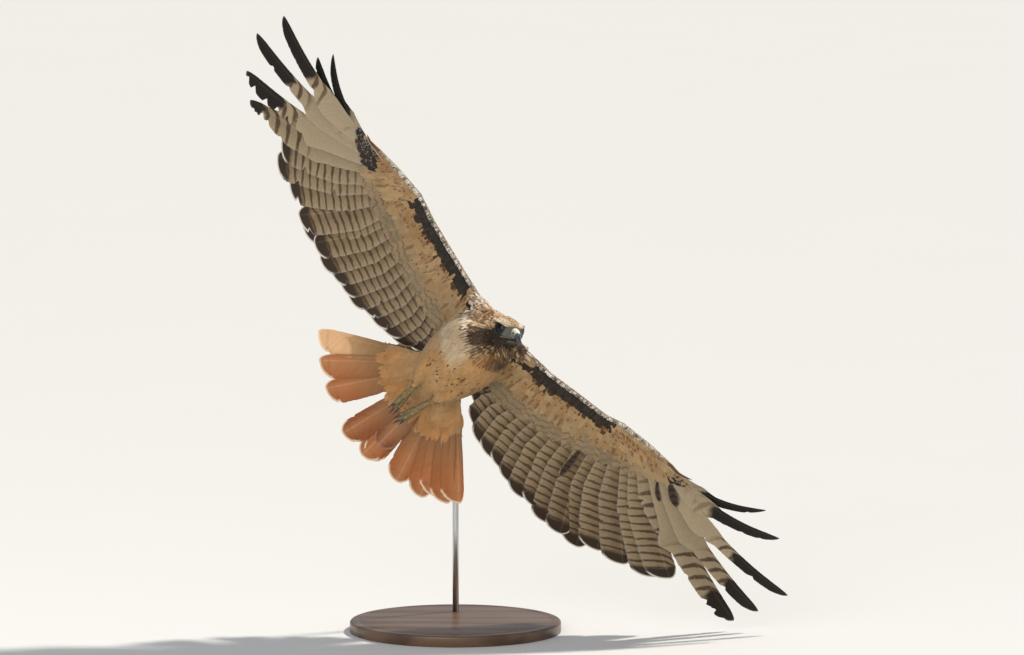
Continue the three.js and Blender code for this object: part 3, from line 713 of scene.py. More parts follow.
def unwrap(points, part, centres=None):
    # body parts: (angle round their axis, distance along it); wings and tail pad: plan view
    x, y, z = points.T
    head = intoHead(points)
    headish = part == headPart
    across, above = np.where(headish, head[:, 1], y), np.where(headish, head[:, 2] + 4, z + 30)
    angle = np.arctan2(across, above) / (2 * pi) + 0.5
    if centres is not None:
        _, cy, cz = centres.T
        middle = intoHead(centres)
        cAcross, cAbove = np.where(headish, middle[:, 1], cy), np.where(headish, middle[:, 2] + 4, cz + 30)
        reference = np.arctan2(cAcross, cAbove) / (2 * pi) + 0.5
        angle += np.where(angle - reference > 0.5, -1, 0) + np.where(reference - angle > 0.5, 1, 0)
    strip = np.array([0.02, 0.02, 0.53, 0.53, 0.53, 0.02, 0.02])[part]
    u = strip + angle * np.where(headish, 0.2, 0.45)
    v = np.where(headish, 0.04 + (head[:, 0] + 50) / 80 * 0.24, 0.02 + (x + 205) / 270 * 0.44)
    u = np.where(part == thighPart, 0.76 + angle * 0.1, u)
    v = np.where(part == thighPart, 0.04 + (x + 150) / 90 * 0.16, v)
    u = np.where(part == padPart, 0.78 + (y + 110) / 220 * 0.2, u)
    v = np.where(part == padPart, 0.25 + (x + 225) / 90 * 0.1, v)
    planU = 0.02 + (np.abs(y) - 20) / 480 * 0.46 + np.where(y > 0, 0.5, 0)
    planV = 0.52 + (x + 130) / 210 * 0.2 + np.where(part == wingTop, 0.24, 0)
    wing = part >= wingTop
    return np.stack([np.where(wing, planU, u), np.where(wing, planV, v)], -1)


# Plumage colours, as linear red, green and blue

tones = {
    "buff": (0.33, 0.205, 0.095),
    "belly": (0.38, 0.225, 0.095),
    "cream": (0.42, 0.30, 0.17),
    "pale": (0.50, 0.41, 0.29),
    "white": (0.74, 0.68, 0.58),
    "tawny": (0.22, 0.105, 0.036),
    "rufous": (0.13, 0.05, 0.015),
    "brown": (0.060, 0.035, 0.019),
    "dark": (0.014, 0.010, 0.007),
    "grey": (0.25, 0.195, 0.13),
    "tailUnder": (0.38, 0.135, 0.042),
    "tailUpper": (0.24, 0.062, 0.018),
}
tones = {name: np.array(tone) for name, tone in tones.items()}


def blendTone(low, high, share):
    share = np.asarray(share)[:, None]
    return low + (high - low) * np.clip(share, 0, 1)


def patches(points, size, seed):
    # soft blotches from 0 to 1: waves of about the given size in random directions, added together
    draw = np.random.default_rng(seed)
    waves = draw.normal(0, 1, (9, 3)) * 2 * pi / size / 1.7
    total = np.sin(points @ waves.T + draw.uniform(0, 6.28, 9)).sum(1)
    return 0.5 + 0.5 * np.tanh(total / 3)


def plumageFinish(name, barbPitch=0.9):
    # ground and ink come with each feather; marks are the strength of shaft streak, tip spot, bars and rim
    finish = Finish(name, Sheen_Weight=0.07, Sheen_Roughness=0.4, Specular_IOR_Level=0.25)
    ground, ink = finish.attribute("ground"), finish.attribute("ink")
    streak, spot, bars = finish.split(finish.attribute("marks"))
    rim = finish.attribute("marks", "Alpha")
    length, width, chance = finish.split(finish.attribute("sizes", "Vector"))
    s, cross, _ = finish.split(finish.uv("vane"))
    side = (cross * 2 - 1).size()
    fromTip = (1 - s) * length
    offset = side * width
    wander = finish.noise(finish.join(s * 3, cross * 3, chance * 90), 1.6, 3)
    streakEdge = 0.16 + 0.14 * s + (wander - 0.5) * 0.3
    streakMask = (side - streakEdge).step(0.14, -0.02) * s.step(0.1, 0.4) * streak
    spotAlong = (fromTip - 3.0) * 0.62
    spotReach = (spotAlong * spotAlong + offset * offset) ** 0.5 + (wander - 0.5) * 2.4
    spotMask = spotReach.step(2.9, 1.4) * spot
    barWave = ((fromTip + offset * 0.35 + (wander - 0.5) * 3) * 0.52 + chance * 6).wave()
    barMask = barWave.step(0.3, 0.8) * bars
    barbs = finish.noise(finish.join((s * length - offset * 0.9) / barbPitch, chance * 50, 0.0), 1.0, 2)
    fringe = side.step(0.6, 1.0).most(fromTip.step(2.6, 0.4)) * (1 - spotMask)
    colour = finish.mix(streakMask.most(spotMask).most(barMask), ground, ink)
    colour = finish.mix(fringe * rim, colour, tuple(tones["white"] * 0.9))
    cloud = finish.noise(finish.place(), 55.0, 4)
    # the tone is darker toward each feather's root: painted shade under the feathers that overlap it
    tone = 0.5 + 0.55 * barbs + 0.5 * cloud - 0.12 * (1 - s.step(0.0, 0.45))
    finish.feed("Base Color", finish.shade(colour, tone))
    finish.feed("Roughness", 0.72 - 0.12 * barbs)
    finish.bump(barbs + (1 - side.step(0.0, 0.12)) * 0.6, 0.5, 0.0004)
    return finish


markReach = {"band": 60, "black": 300, "barred": 100}


def flightFinish(name):
    # marks: strength of the bars, then the depths of band, black end and plain part as shares of markReach
    finish = Finish(name, Sheen_Weight=0.04, Specular_IOR_Level=0.2)
    ground, ink = finish.attribute("ground"), finish.attribute("ink")
    bars, band, black = finish.split(finish.attribute("marks"))
    barred = finish.attribute("marks", "Alpha")
    length, width, chance = finish.split(finish.attribute("sizes", "Vector"))
    upper = finish.attribute("upper", "Fac")
    s, cross, _ = finish.split(finish.uv("vane"))
    side = (cross * 2 - 1).size()
    fromTip = (1 - s) * length
    offset = side * width
    signed = (cross * 2 - 1) * width
    wander = finish.noise(finish.join(fromTip / 16, cross * 2.4, chance * 90), 1.5, 2)
    mottle = finish.noise(finish.join(fromTip / 5, cross * 7, chance * 40), 1.8, 3)
    # bars slope toward the tip at the front edge, are widest by the shaft and thin toward the rear edge
    barPlace = fromTip + signed * 0.38 + side * side * 4 + (wander - 0.5) * 7
    barPitch = (13.2 + chance * 1.2) + 8.5 * black.step(0.0, 0.02)
    barWave = (barPlace * 2 * pi / barPitch + chance * 9).wave() - (1 - cross).step(0.5, 1.0) * 0.4
    fromBlack = fromTip - black * markReach["black"]
    bareHand = (fromBlack - barred * markReach["barred"]).step(-12, 14) * black.step(0.0, 0.02)
    barMask = barWave.step(0.05, 0.6) * bars * fromTip.step(12, 22) * (1 - bareHand) * (0.5 + 0.55 * mottle)
    barMask = barMask * (1 - s.step(0.55, 0.2) * 0.4)
    bandMask = (fromTip - band * markReach["band"] - side * side * 5 + (wander - 0.5) * 10).step(7, -4)
    blackMask = (fromBlack + offset * 0.5 + (wander - 0.5) * 14).step(5, -5) * black.step(0.0, 0.02)
    barbs = finish.noise(finish.join((s * length - offset * 0.8) / 0.9, chance * 50, 0.0), 1.0, 2)
    dark = barMask.most(bandMask * 0.96).most(blackMask)
    warm = (barWave + 0.3).step(0.0, 0.6) * bars * (1 - bareHand) * 0.45
    # in the round tip, reach from the outline is (1 - r) 21 mm, with r^2 = cap^2 + side^2 (1 - cap^2)
    cap = ((21 - fromTip) / 21).most(0.0)
    reach = (1 - (cap * cap + side * side * (1 - cap * cap)) ** 0.5) * 21
    tipEdge = reach.step(3.4, 1.2) * (0.1 + 0.9 * cap.step(0.0, 0.45)) * (1 - blackMask * 0.85)
    shaft = side.step(0.085, 0.04)
    lower = finish.mix(warm, ground, tuple(tones["tawny"] * 1.1))
    rear = (1 - cross).step(0.6, 0.98) * (0.2 + 0.5 * mottle)
    lower = finish.mix(rear, lower, tuple(tones["pale"] * [0.8, 0.72, 0.6]))
    lower = finish.mix(dark, lower, ink)
    above = finish.shade(lower, 0.4 + 0.16 * side)
    colour = finish.mix(upper * (1 - dark) * 0.85, lower, above)
    colour = finish.mix(tipEdge * 0.85, colour, tuple(tones["white"]))
    colour = finish.mix(shaft * (1 - dark * 0.8) * 0.35, colour, tuple(tones["cream"] * 0.8))
    finish.feed("Base Color", finish.shade(colour, 0.7 + 0.34 * barbs + 0.26 * mottle))
    finish.feed("Roughness", 0.62 - 0.14 * barbs)
    finish.bump(barbs, 0.45, 0.0004)
    return finish


def tailFinish(name):
    finish = Finish(name, Sheen_Weight=0.04, Specular_IOR_Level=0.25)
    ground, ink = finish.attribute("ground"), finish.attribute("ink")
    length, width, chance = finish.split(finish.attribute("sizes", "Vector"))
    upper = finish.attribute("upper", "Fac")
    s, cross, _ = finish.split(finish.uv("vane"))
    side = (cross * 2 - 1).size()
    fromTip = (1 - s) * length
    offset = side * width
    wander = finish.noise(finish.join(fromTip / 30, cross * 2, chance * 90), 1.5, 2)
    barbs = finish.noise(finish.join((s * length - offset * 1.1) / 1.0, chance * 50, 0.0), 1.0, 3)
    streaks = finish.noise(finish.join((s * length - offset * 1.1) / 6, chance * 30, cross * 2), 1.0, 2)
    band = (fromTip - 17 + (wander - 0.5) * 4).size().step(3.4, 1.6) * (0.1 + 0.8 * upper)
    cap = ((24 - fromTip) / 24).most(0.0)
    reach = (1 - (cap * cap + side * side * (1 - cap * cap)) ** 0.5) * 22
    end, plain, _ = finish.split(finish.attribute("marks"))
    edge = reach.step(4.4, 1.0) * cap.step(0.0, 0.3) * (1 - plain * 0.8)
    colour = finish.mix(upper, ground, tuple(tones["tailUpper"]))
    colour = finish.mix(side.step(0.75, 0.1) * 0.35, colour, ink)
    colour = finish.mix((s * length).step(150, 70) * 0.75 * (1 - upper), colour, (0.40, 0.215, 0.085))
    # painted sunlight: the end of the outermost feather is lightened, and the rest of it stays in painted
    # shadow of the wing
    lit = end * (fromTip + (wander - 0.5) * 40 - offset * 0.6).step(54, 44) * (1 - upper)
    colour = finish.mix(lit, colour, (0.68, 0.40, 0.20))
    colour = finish.mix(band, colour, tuple(tones["dark"]))
    colour = finish.mix(edge * 0.8, colour, (0.82, 0.62, 0.44))
    colour = finish.mix(side.step(0.1, 0.03) * 0.2, colour, (0.66, 0.40, 0.22))
    # painted shade: the tail darkens toward its root
    light = (0.5 + 0.5 * s.step(0.3, 0.9)) * (0.8 + 0.22 * barbs + 0.34 * streaks)
    finish.feed("Base Color", finish.shade(colour, light))
    finish.feed("Roughness", 0.6 - 0.12 * barbs)
    finish.bump(barbs, 0.5, 0.0005)
    return finish


# Flight feathers

patchMargin = 0.01
featherPatch = 0.003
featherAcross = [-1, -0.86, -0.68, -0.45, -0.2, -0.06, 0, 0.06, 0.2, 0.45, 0.7, 1]
flight = {
    "secondaries": 9,
    "tertials": 3,
    "handSpan": 95,
    "primaryWidth": 52,
    "fingerWidth": 38,
    "secondaryWidth": 47,
    "fingers": 5,
    "droop": -8,
    "tertialLift": 16,
    "tilt": 5.5,
    "thick": 0.5,
    "stations": 88,
    "caps": (26, 24, 21),
    "bows": (7, 4),
    "bands": (20, 23),
}
vaneShapes = {
    "flight": [(0, 0.16), (0.2, 0.5), (0.5, 1), (0.8, 1), (1, 0.96)],
    "finger": [(0, 0.16), (0.18, 0.55), (0.42, 1), (0.5, 0.86), (0.56, 0.56), (0.85, 0.46), (1, 0.36)],
    "pointed": [(0, 0.16), (0.2, 0.5), (0.5, 1), (0.7, 0.92), (0.85, 0.52), (1, 0.34)],
}


def flightPlan(wing):  # root, tip, lift and rank of each feather, with the outermost primary first
    plan = []
    for i in range(9, -1, -1):
        tipX, tipY, lift = wing["primaries"][i]
        out = wing["wrist"] + 6 + flight["handSpan"] * i / 9
        root = (along(wing["leading"], out) - 22 + 13 * i / 9, out)
        plan.append((root, (tipX, tipY), lift, i))
    outermost = wing["trailing"][-1][0]
    count = flight["secondaries"] + flight["tertials"]
    for i in range(count):
        t = i / (count - 1)
        rootX = along(wing["leading"], wing["wrist"]) - 26
        root = (rootX + (-42 - rootX) * min(1, t * 1.15), wing["wrist"] - 8 + (66 - wing["wrist"] + 8) * t)
        tipY = outermost + (49 - outermost) * t**0.92
        overTail = past(t, 0.68, 0.32)
        lift = (1 - overTail) * flight["droop"] * ease(t * 6) + overTail * flight["tertialLift"]
        plan.append((root, (along(wing["trailing"], tipY) + rng.uniform(-6, 8), tipY), lift, -1 - i))
    return plan


def lieAt(plan, out):  # direction of the flight feathers rooted at a distance out along the wing
    turns = [(root[1], np.arctan2(tip[1] - root[1], root[0] - tip[0])) for root, tip, _, _ in plan]
    return along(sorted(turns), out)


def flightLooks(wing, plan):
    rank = np.array([row[3] for row in plan])
    length = np.array([np.hypot(tip[0] - root[0], tip[1] - root[1]) for root, tip, _, _ in plan])
    primary, finger = rank >= 0, rank >= 10 - flight["fingers"]
    # black ends start nearer the root on the outer primaries
    black = length * along(wing["black"], rank) / markReach["black"]
    barred = along(wing["barred"], rank)
    band = np.where(primary, *flight["bands"]) / markReach["band"]
    band = np.where(finger | np.isin(rank, wing["pointed"]), 0, band)
    bars = along([(-16, 1), (3, 1), (7, 0.95), (8, 0.5), (9, 0.3)], rank)
    palm = along([(-1, 0), (2, 0.25), (5, 0.8), (9, 1)], rank)
    ground = blendTone(tones["grey"], tones["cream"] * [0.9, 1.02, 1.25], palm)
    light = blendTone(np.array([0.7, 0.64, 0.52]), np.array([0.86, 0.83, 0.76]), palm)
    ground = ground * rng.uniform(0.8, 1.08, (len(rank), 1)) * light
    ink = blendTone(tones["brown"] * 0.5, tones["dark"] * 0.55, palm)
    marks = np.stack([bars, band, black, barred], -1)
    sizes = np.stack([length, np.full(len(rank), 24.0), rng.uniform(0, 1, len(rank))], -1)
    return {"ground": ground, "ink": ink, "marks": marks, "sizes": sizes}


def flightShell(wing, plan):
    # shaft: straight from root to tip in plan, bowed back by bow 4 t (1 - t), raised by lift t^power
    count, steps = len(plan), flight["stations"]
    t = 1 - (1 - np.linspace(0, 1, steps)) ** 1.25
    root = np.array([row[0] for row in plan], float)
    tip = np.array([row[1] for row in plan], float)
    lift = np.array([row[2] for row in plan], float)
    rank = np.array([row[3] for row in plan])
    primary, finger = rank >= 0, rank >= 10 - flight["fingers"]
    run = tip - root
    length = np.linalg.norm(run, axis=1)
    ahead = np.stack([run[:, 1], -run[:, 0]], -1) / length[:, None]
    bow = np.where(finger, *flight["bows"])[:, None] * 4 * t * (1 - t)
    plan2d = root[:, None] + run[:, None] * t[:, None] - ahead[:, None] * bow[..., None]
    power = np.where(primary, 3, 1.8)[:, None]
    raised = lift[:, None] * t**power
    z = wingRise(wing, plan2d[..., 1]) + raised
    centre = np.concatenate([plan2d * [1, wing["side"]], z[..., None]], -1)
    # every vane lies along the wing's slope, tilted until it goes over the next feather's rear edge
    bend = ease((plan2d[..., 1] - wing["wrist"] + 20) / 40)
    rise = tan(radians(wing["armRise"])) * (1 - bend) + tan(radians(wing["handRise"])) * bend
    nextOut, nextIn = np.maximum(np.arange(count) - 1, 0), np.minimum(np.arange(count) + 1, count - 1)
    apart = np.einsum("nij,nj->ni", plan2d[nextOut] - plan2d[nextIn], ahead)
    climb = (raised[nextOut] - raised[nextIn]) / np.maximum(apart, 8)
    slope = rise * ahead[:, 1:] + np.clip(climb, -0.4, 0.4)
    slope = slope + tan(radians(flight["tilt"]))
    level = np.broadcast_to((ahead * [1, wing["side"]])[:, None], (count, steps, 2))
    side = unit(np.concatenate([level, slope[..., None]], -1))
    up = unit(np.cross(np.gradient(centre, axis=1), side))
    up = up * np.sign(up[..., 2:])
    width = np.where(primary, flight["primaryWidth"], flight["secondaryWidth"])
    width = np.where(finger, flight["fingerWidth"], width)
    share = np.where(finger[:, None], along(vaneShapes["finger"], t), along(vaneShapes["flight"], t))
    pointed = np.isin(rank, wing["pointed"])
    share[pointed] = along(vaneShapes["pointed"], t)
    long, middle, short = flight["caps"]
    capLength = np.where(finger | pointed, long, np.where(primary, middle, short)) / length
    cap = np.clip((t - 1 + capLength[:, None]) / capLength[:, None], 0, 1)
    rounding = np.sqrt(np.clip(1 - cap ** np.where(finger, 1.7, 2.0)[:, None], 0.004, 1))
    full = width[:, None] * share * rounding
    for i, factor in wing["wide"].items():
        full[rank == i] *= 1 + (factor - 1) * past(t, 0.4, 0.12)
    outer = np.where(finger, 0.24, np.where(primary, 0.3, 0.36))[:, None]
    front, rear = full * outer, full * (1 - outer)
    # a few splits in each web, and the deeply frayed feathers of this bird
    for _ in range(2):
        place = rng.uniform(0.45, 0.97, (count, 1))
        depth = rng.uniform(0.05, 0.3, (count, 1)) * (rng.random((count, 1)) < 0.7)
        rear *= 1 - depth * np.exp(-(((t - place) / 0.012) ** 2))
    for i, (low, high, deep) in wing["frayed"].items():
        row = np.flatnonzero(rank == i)[0]
        for place in np.linspace(low, high, 6) + rng.uniform(-0.022, 0.022, 6):
            rear[row] *= 1 - deep * rng.uniform(0.5, 1.1) * np.exp(-(((t - place) / 0.011) ** 2))
    front *= 1 + 0.015 * rng.standard_normal(front.shape)
    rear *= 1 + 0.012 * rng.standard_normal(rear.shape)
    camber = np.where(finger, 1.6, 0.5)[:, None] * np.sin(pi * t) * (1 - 0.6 * t)
    ridge = np.broadcast_to((1.7 * (1 - t) + 0.35)[None], full.shape)
    thick = np.broadcast_to((flight["thick"] * (1 - 0.4 * t))[None], full.shape)
    return featherShell(centre, side, up, front, rear, camber, thick, ridge, featherAcross), t


def atlas(count, columns=6):  # rectangles for large feathers in the bake's map, and their size
    grid = np.array([columns, int(np.ceil(count / columns))])
    i = np.arange(count)
    start = np.stack([i % columns, i // columns], -1) + patchMargin
    return start / grid, (1 - 2 * patchMargin) ** 2 / grid


# Wing coverts, laid in rows on both faces of the wing

covertAcross = [-1, -0.66, -0.3, 0, 0.3, 0.66, 1]
smallAcross = [-1, -0.5, 0, 0.5, 1]
covertFloor = {1: 3.0, -1: 4.6}
covertSpan = (42, 352)
covertSteps = 8


def wingPoint(wing, out, back, face, height):
    # back runs from the leading edge along the face: a quarter round over the nose, then straight
    chord = along(fleshChord, out)
    half = np.maximum(along(fleshHalf, out) - coatDepth["wing"], 0.8)
    nose = fleshCrest * chord
    quarter = (nose + half) * pi / 4
    angle = np.clip(back / quarter, 0, 1) * pi / 2
    drop = np.where(back < quarter, nose * (1 - np.cos(angle)), nose + back - quarter)
    share = np.where(back < quarter, np.sin(angle), fleshShare(np.clip(drop / chord, fleshCrest, 1)))
    fade = along([(0, 1), (wing["wrist"], 1), (345, 0.8), (420, 0.5)], out)
    rest = covertFloor[face] * fade * ease((drop / chord - fleshCrest) * 1.6)
    level = np.maximum(half * share, rest)
    x = along(wing["leading"], out) - coatDepth["wing"] - drop + height * np.cos(angle)
    z = wingRise(wing, out) + face * (level + height * np.sin(angle))
    return np.stack([x, out * wing["side"], z], -1)


def covertStations(steps):  # closer together near the tip
    return 1 - (1 - np.linspace(0, 1, steps)) ** 1.5


def covertShell(wing, face, rows, across, steps):
    # rows: arrays out, back, length, width, lift, lie for every feather
    s = covertStations(steps)[None, :, None]
    q, side, mirror = ringPlan(across)
    keys = ("out", "back", "length", "width", "lift", "lie")
    out, back, length, width, lift, lie = (np.asarray(rows[key])[:, None, None] for key in keys)
    share = along([(0, 0.45), (0.25, 0.8), (0.5, 1), (0.74, 0.94), (0.88, 0.7), (0.96, 0.4), (1, 0.1)], s)
    offset = q * width / 2 * share
    run = length * s + rng.uniform(-1, 1, (len(out), 1, len(q))) * length * 0.018 * past(s, 0.6, 0.3)
    a = back + run * np.cos(lie) - offset * np.sin(lie)
    o = out + run * np.sin(lie) + offset * np.cos(lie)
    height = lift * s - 0.9 * (1 - ease(s * 2.5)) - 0.7 * (q**2) * (width / 24)
    height = height + side * 0.11
    points = wingPoint(wing, o, np.maximum(a, 0), face, height)
    flow = points[:, -1].mean(1) - points[:, 0].mean(1)
    reach = points[:, steps // 2, len(across) - 1] - points[:, steps // 2, 0]
    up = points[:, steps // 2, len(across) // 2] - points[:, steps // 2, -(len(across) // 2)]
    wrong = np.einsum("ij,ij->i", np.cross(flow, reach), up) < 0
    points[wrong] = points[wrong][:, :, mirror]
    return points, wrong


covertRows = [
    # share of the chord at the root, length inboard, at the wrist and on the hand, width, lift, feathers
    (0.50, 62, 64, 38, 24, 0.3, 40),
    (0.37, 48, 46, 33, 19, 0.4, 52),
    (0.28, 38, 35, 27, 15, 0.6, 64),
    (0.20, 31, 28, 22, 12, 0.8, 78),
    (0.13, 24, 22, 18, 10, 0.8, 92),
    (0.08, 19, 17, 15, 8.5, 0.8, 110),
    (0.04, 14, 13, 12, 7, 0.8, 130),
    (0.0, 8, 8, 7, 5.5, 0.7, 150),
]


def layCoverts(wing, plan, face):
    rows = {key: [] for key in ("out", "back", "length", "width", "lift", "lie", "row")}
    for number, (share, inboard, middle, hand, width, lift, count) in enumerate(covertRows):
        t = (np.arange(count) + rng.uniform(-0.22, 0.22, count)) / (count - 1)
        start, end = covertSpan
        out = start + (end - start) * t
        chord = along(fleshChord, out)
        between = (300, (middle + hand) / 2 + 4)
        reach = along([(start, inboard), (wing["wrist"], middle), between, (end, hand)], out)
        handward = ease((out - wing["wrist"] + 30) / 90)
        lie = lieAt(plan, out) * (0.96 - 0.03 * number) + handward * 0.04 * number
        rows["out"].append(out)
        rows["back"].append(chord * share + rng.uniform(-1, 1, count) * (1 + 0.2 * (7 - number)))
        rows["length"].append(reach * rng.uniform(0.93, 1.07, count))
        rows["width"].append(np.full(count, float(width)) * along([(0, 1), (250, 1), (350, 0.8)], out))
        rows["lift"].append(lift * rng.uniform(0.8, 1.25, count))
        rows["lie"].append(lie + rng.normal(0, 0.05, count))
        rows["row"].append(np.full(count, number))
    if face < 0:  # dark feathers that lie out of their rows
        for out, back, length, width, lie in wing["displaced"]:
            for key, value in zip(rows, (out, back, length, width, 2.6, lie, 9)):
                rows[key].append(np.array([float(value)]))
    return {key: np.concatenate(value) for key, value in rows.items()}


def covertLooks(wing, rows, face):
    out, row, back = rows["out"], rows["row"], rows["back"]
    tipOut = out + rows["length"] * np.sin(rows["lie"])
    tipBack = back + rows["length"] * np.cos(rows["lie"])
    count = len(out)
    chance, second = rng.random(count), rng.random(count)
    place = np.stack([tipBack, tipOut, 0 * out], -1)
    blotch, fine = patches(place, 55, 3 + wing["side"]), patches(place, 20, 7 + wing["side"])
    ink = np.tile(tones["rufous"], (count, 1))
    marks = np.zeros((count, 4))
    onHand = past(out, 262, 40)
    if face < 0:
        ground = blendTone(tones["buff"], tones["cream"], 0.3 * chance + 0.75 * blotch)
        ground = blendTone(ground, tones["tawny"] * 1.3, 0.4 * ease((fine - 0.5) * 3) * (1 - onHand * 0.3))
        greater = row == 0
        paler = 0.3 * chance[greater] + 0.7 * onHand[greater]
        ground[greater] = blendTone(tones["grey"] * 1.05, tones["cream"], paler)
        ink[greater] = tones["brown"] * 1.3
        marks[greater, 2] = (1 - onHand[greater]) * (0.2 + 0.35 * chance[greater])
        median = row == 1
        ground[median] = blendTone(ground, tones["cream"] * [0.8, 0.86, 0.95], 0.5 - 0.5 * blotch)[median]
        spotted = (row >= 1) & (row <= 5)
        marks[spotted, 1] = 0.8 * (chance[spotted] < 0.22)
        marks[spotted, 0] = 0.6 * ((chance > 0.72) & (fine > 0.4))[spotted]
        # dark bar along the front of the arm, ragged behind
        tipEnd = 15 + 9 * patches(place, 26, 21) + 5 * chance
        onArm = (out > 52) & (out < wing["wrist"] - 10 + 8 * chance)
        bar = (row >= 4) & (row <= 6) & (tipBack < tipEnd + 7) & onArm
        behind = (row >= 3) & (row <= 4) & (tipBack < tipEnd + 18) & (chance < 0.4)
        ragged = behind & (out > 52) & (out < wing["wrist"] - 14)
        ground[bar] = blendTone(tones["dark"], tones["brown"] * 0.7, second**2)[bar]
        ground[ragged] = blendTone(tones["brown"] * 0.6, tones["rufous"], second)[ragged]
        marks[bar | ragged] = 0
        # blotch at the ends of the outer primary coverts
        edge, depth, share = wing["blotch"]
        comma = (row <= 6) & (tipOut > edge + 10 * fine) & (tipBack < depth) & (second < share * 0.9)
        ground[comma] = blendTone(tones["dark"], tones["brown"], 0.8 * chance**2)[comma]
        marks[comma] = 0
        displaced = row == 9
        ground[displaced], ink[displaced] = tones["brown"] * 0.9, tones["dark"]
        marks[displaced, 2] = 1
        rim = row == 7
        ground[rim] = blendTone(tones["brown"], tones["white"], 1.3 * chance[rim] ** 1.5)
        ink[rim], marks[rim, 0] = tones["dark"], 0.6
        marks[:, 3] = np.where(bar | ragged, 0.0, np.where(comma, 0.3, 0.1))
        plain = ~(bar | ragged | comma | rim)
        ground[plain] *= [0.82, 0.76, 0.65]
    else:
        ground = blendTone(tones["brown"] * 1.05, tones["tawny"] * 0.8, 0.6 * chance)
        ink = np.tile(tones["dark"] * 1.4, (count, 1))
        marks[:, 0] = 0.75
        marks[row == 0, 2] = 0.4
        marks[:, 3] = 0.28
        rim = row >= 6
        ground[rim] = blendTone(tones["tawny"], tones["pale"], chance[rim])
    ground = ground * rng.uniform(0.88, 1.12, (count, 1))
    sizes = np.stack([rows["length"], rows["width"] / 2, rng.uniform(0, 1, count)], -1)
    return {"ground": ground, "ink": ink, "marks": marks, "sizes": sizes}


# Alula: three small quills along the front of the hand, the longest standing off a little at its tip


def alulaShell(wing):
    t = np.linspace(0, 1, 24)
    reach, standOff = wing["alula"]
    out = np.array([296, 302, 308])[:, None] + np.array([52, 62, reach])[:, None] * t
    forward = np.array([-4, -2.5, -1])[:, None] + np.array([1, 2, standOff])[:, None] * t**2.5
    x = along(wing["leading"], out) + forward - coatDepth["wing"] - 3 * (1 - t)
    z = wingRise(wing, out) - 1.5 + np.array([0.8, 0, -0.8])[:, None]
    centre = np.stack([x, out * wing["side"], z], -1)
    side = np.broadcast_to([0.94, 0.1 * wing["side"], 0.3], centre.shape)
    up = unit(np.cross(np.gradient(centre, axis=1), side))
    up = up * np.sign(up[..., 2:])
    full = 8.5 * along([(0, 0.3), (0.3, 1), (0.7, 0.85), (0.9, 0.5), (1, 0.1)], t) * np.ones((3, 1))
    thick = np.full(full.shape, 0.4)
    return featherShell(centre, side, up, full * 0.35, full * 0.65, full * 0.04, thick, thick, covertAcross)


def addAlula(name, wing):
    ground = blendTone(tones["brown"] * 0.8, tones["tawny"], np.array([0.2, 0.5, 0.8]))
    sizes = np.stack([np.full(3, 60.0), np.full(3, 5.5), rng.random(3)], -1)
    marks = np.tile([0.6, 0, 0.3, 0.5], (3, 1))
    looks = {"ground": ground, "ink": np.tile(tones["dark"], (3, 1)), "marks": marks, "sizes": sizes}
    shell = alulaShell(wing)
    featherPiece(f"alula_{name}", shell, covertAcross, looks, covertLook, atlas(3, 3))


# Body feathers, scattered on the skin and laid along its flow


def spread(points, radius):  # keeps each point that has no kept point within its radius
    cell = float(radius.max())
    keys = np.floor(points / cell).astype(int).tolist()
    homes, kept = {}, []
    steps = [(i, j, k) for i in (-1, 0, 1) for j in (-1, 0, 1) for k in (-1, 0, 1)]
    for n, (point, key, reach) in enumerate(zip(points.tolist(), keys, (radius**2).tolist())):
        near = (p for i, j, k in steps for p in homes.get((key[0] + i, key[1] + j, key[2] + k), ()))
        x, y, z = point
        if all((a - x) ** 2 + (b - y) ** 2 + (c - z) ** 2 > reach for a, b, c in near):
            homes.setdefault(tuple(key), []).append(point)
            kept.append(n)
    return np.array(kept)


def flowAt(points, normals, part):  # direction of the coat: tailward, and away from the bill on the head
    head = intoHead(points)
    flow = np.tile([-1.0, 0, 0], (len(points), 1))
    # from the front of the breast the coat spreads to all sides
    spreading = past(points[:, 0], 0, 40)[:, None]
    flow += spreading * 0.9 * unit(np.stack([0 * points[:, 0], points[:, 1] + 2, points[:, 2] + 30], -1))
    fan = before(points[:, 0], -150, 30)[:, None]
    flow = flow * (1 - fan) + unit(points - tailHinge) * fan
    fromBill = head - [26, 0, -6]
    fromBill[:, 0] -= 16
    skull = unit(unit(fromBill) @ headTurn.T)
    depth = (points - headStart) @ headNormal
    share = past(depth, -22, 30)[:, None]
    flow = flow * (1 - share) + skull * share
    thigh = (part == thighPart)[:, None]
    flow = np.where(thigh, [-1.0, 0, 0.1], flow)
    flow -= normals * np.einsum("ij,ij->i", flow, normals)[:, None]
    return unit(flow)


def nearest(tree, points):  # nearest points and normals of the skin, in the bird frame
    found, turns = [], []
    for point in points.tolist():
        place, normal, _, _ = tree.find_nearest(Vector(point))
        found.append(place)
        turns.append(normal)
    return np.array(found), np.array(turns)


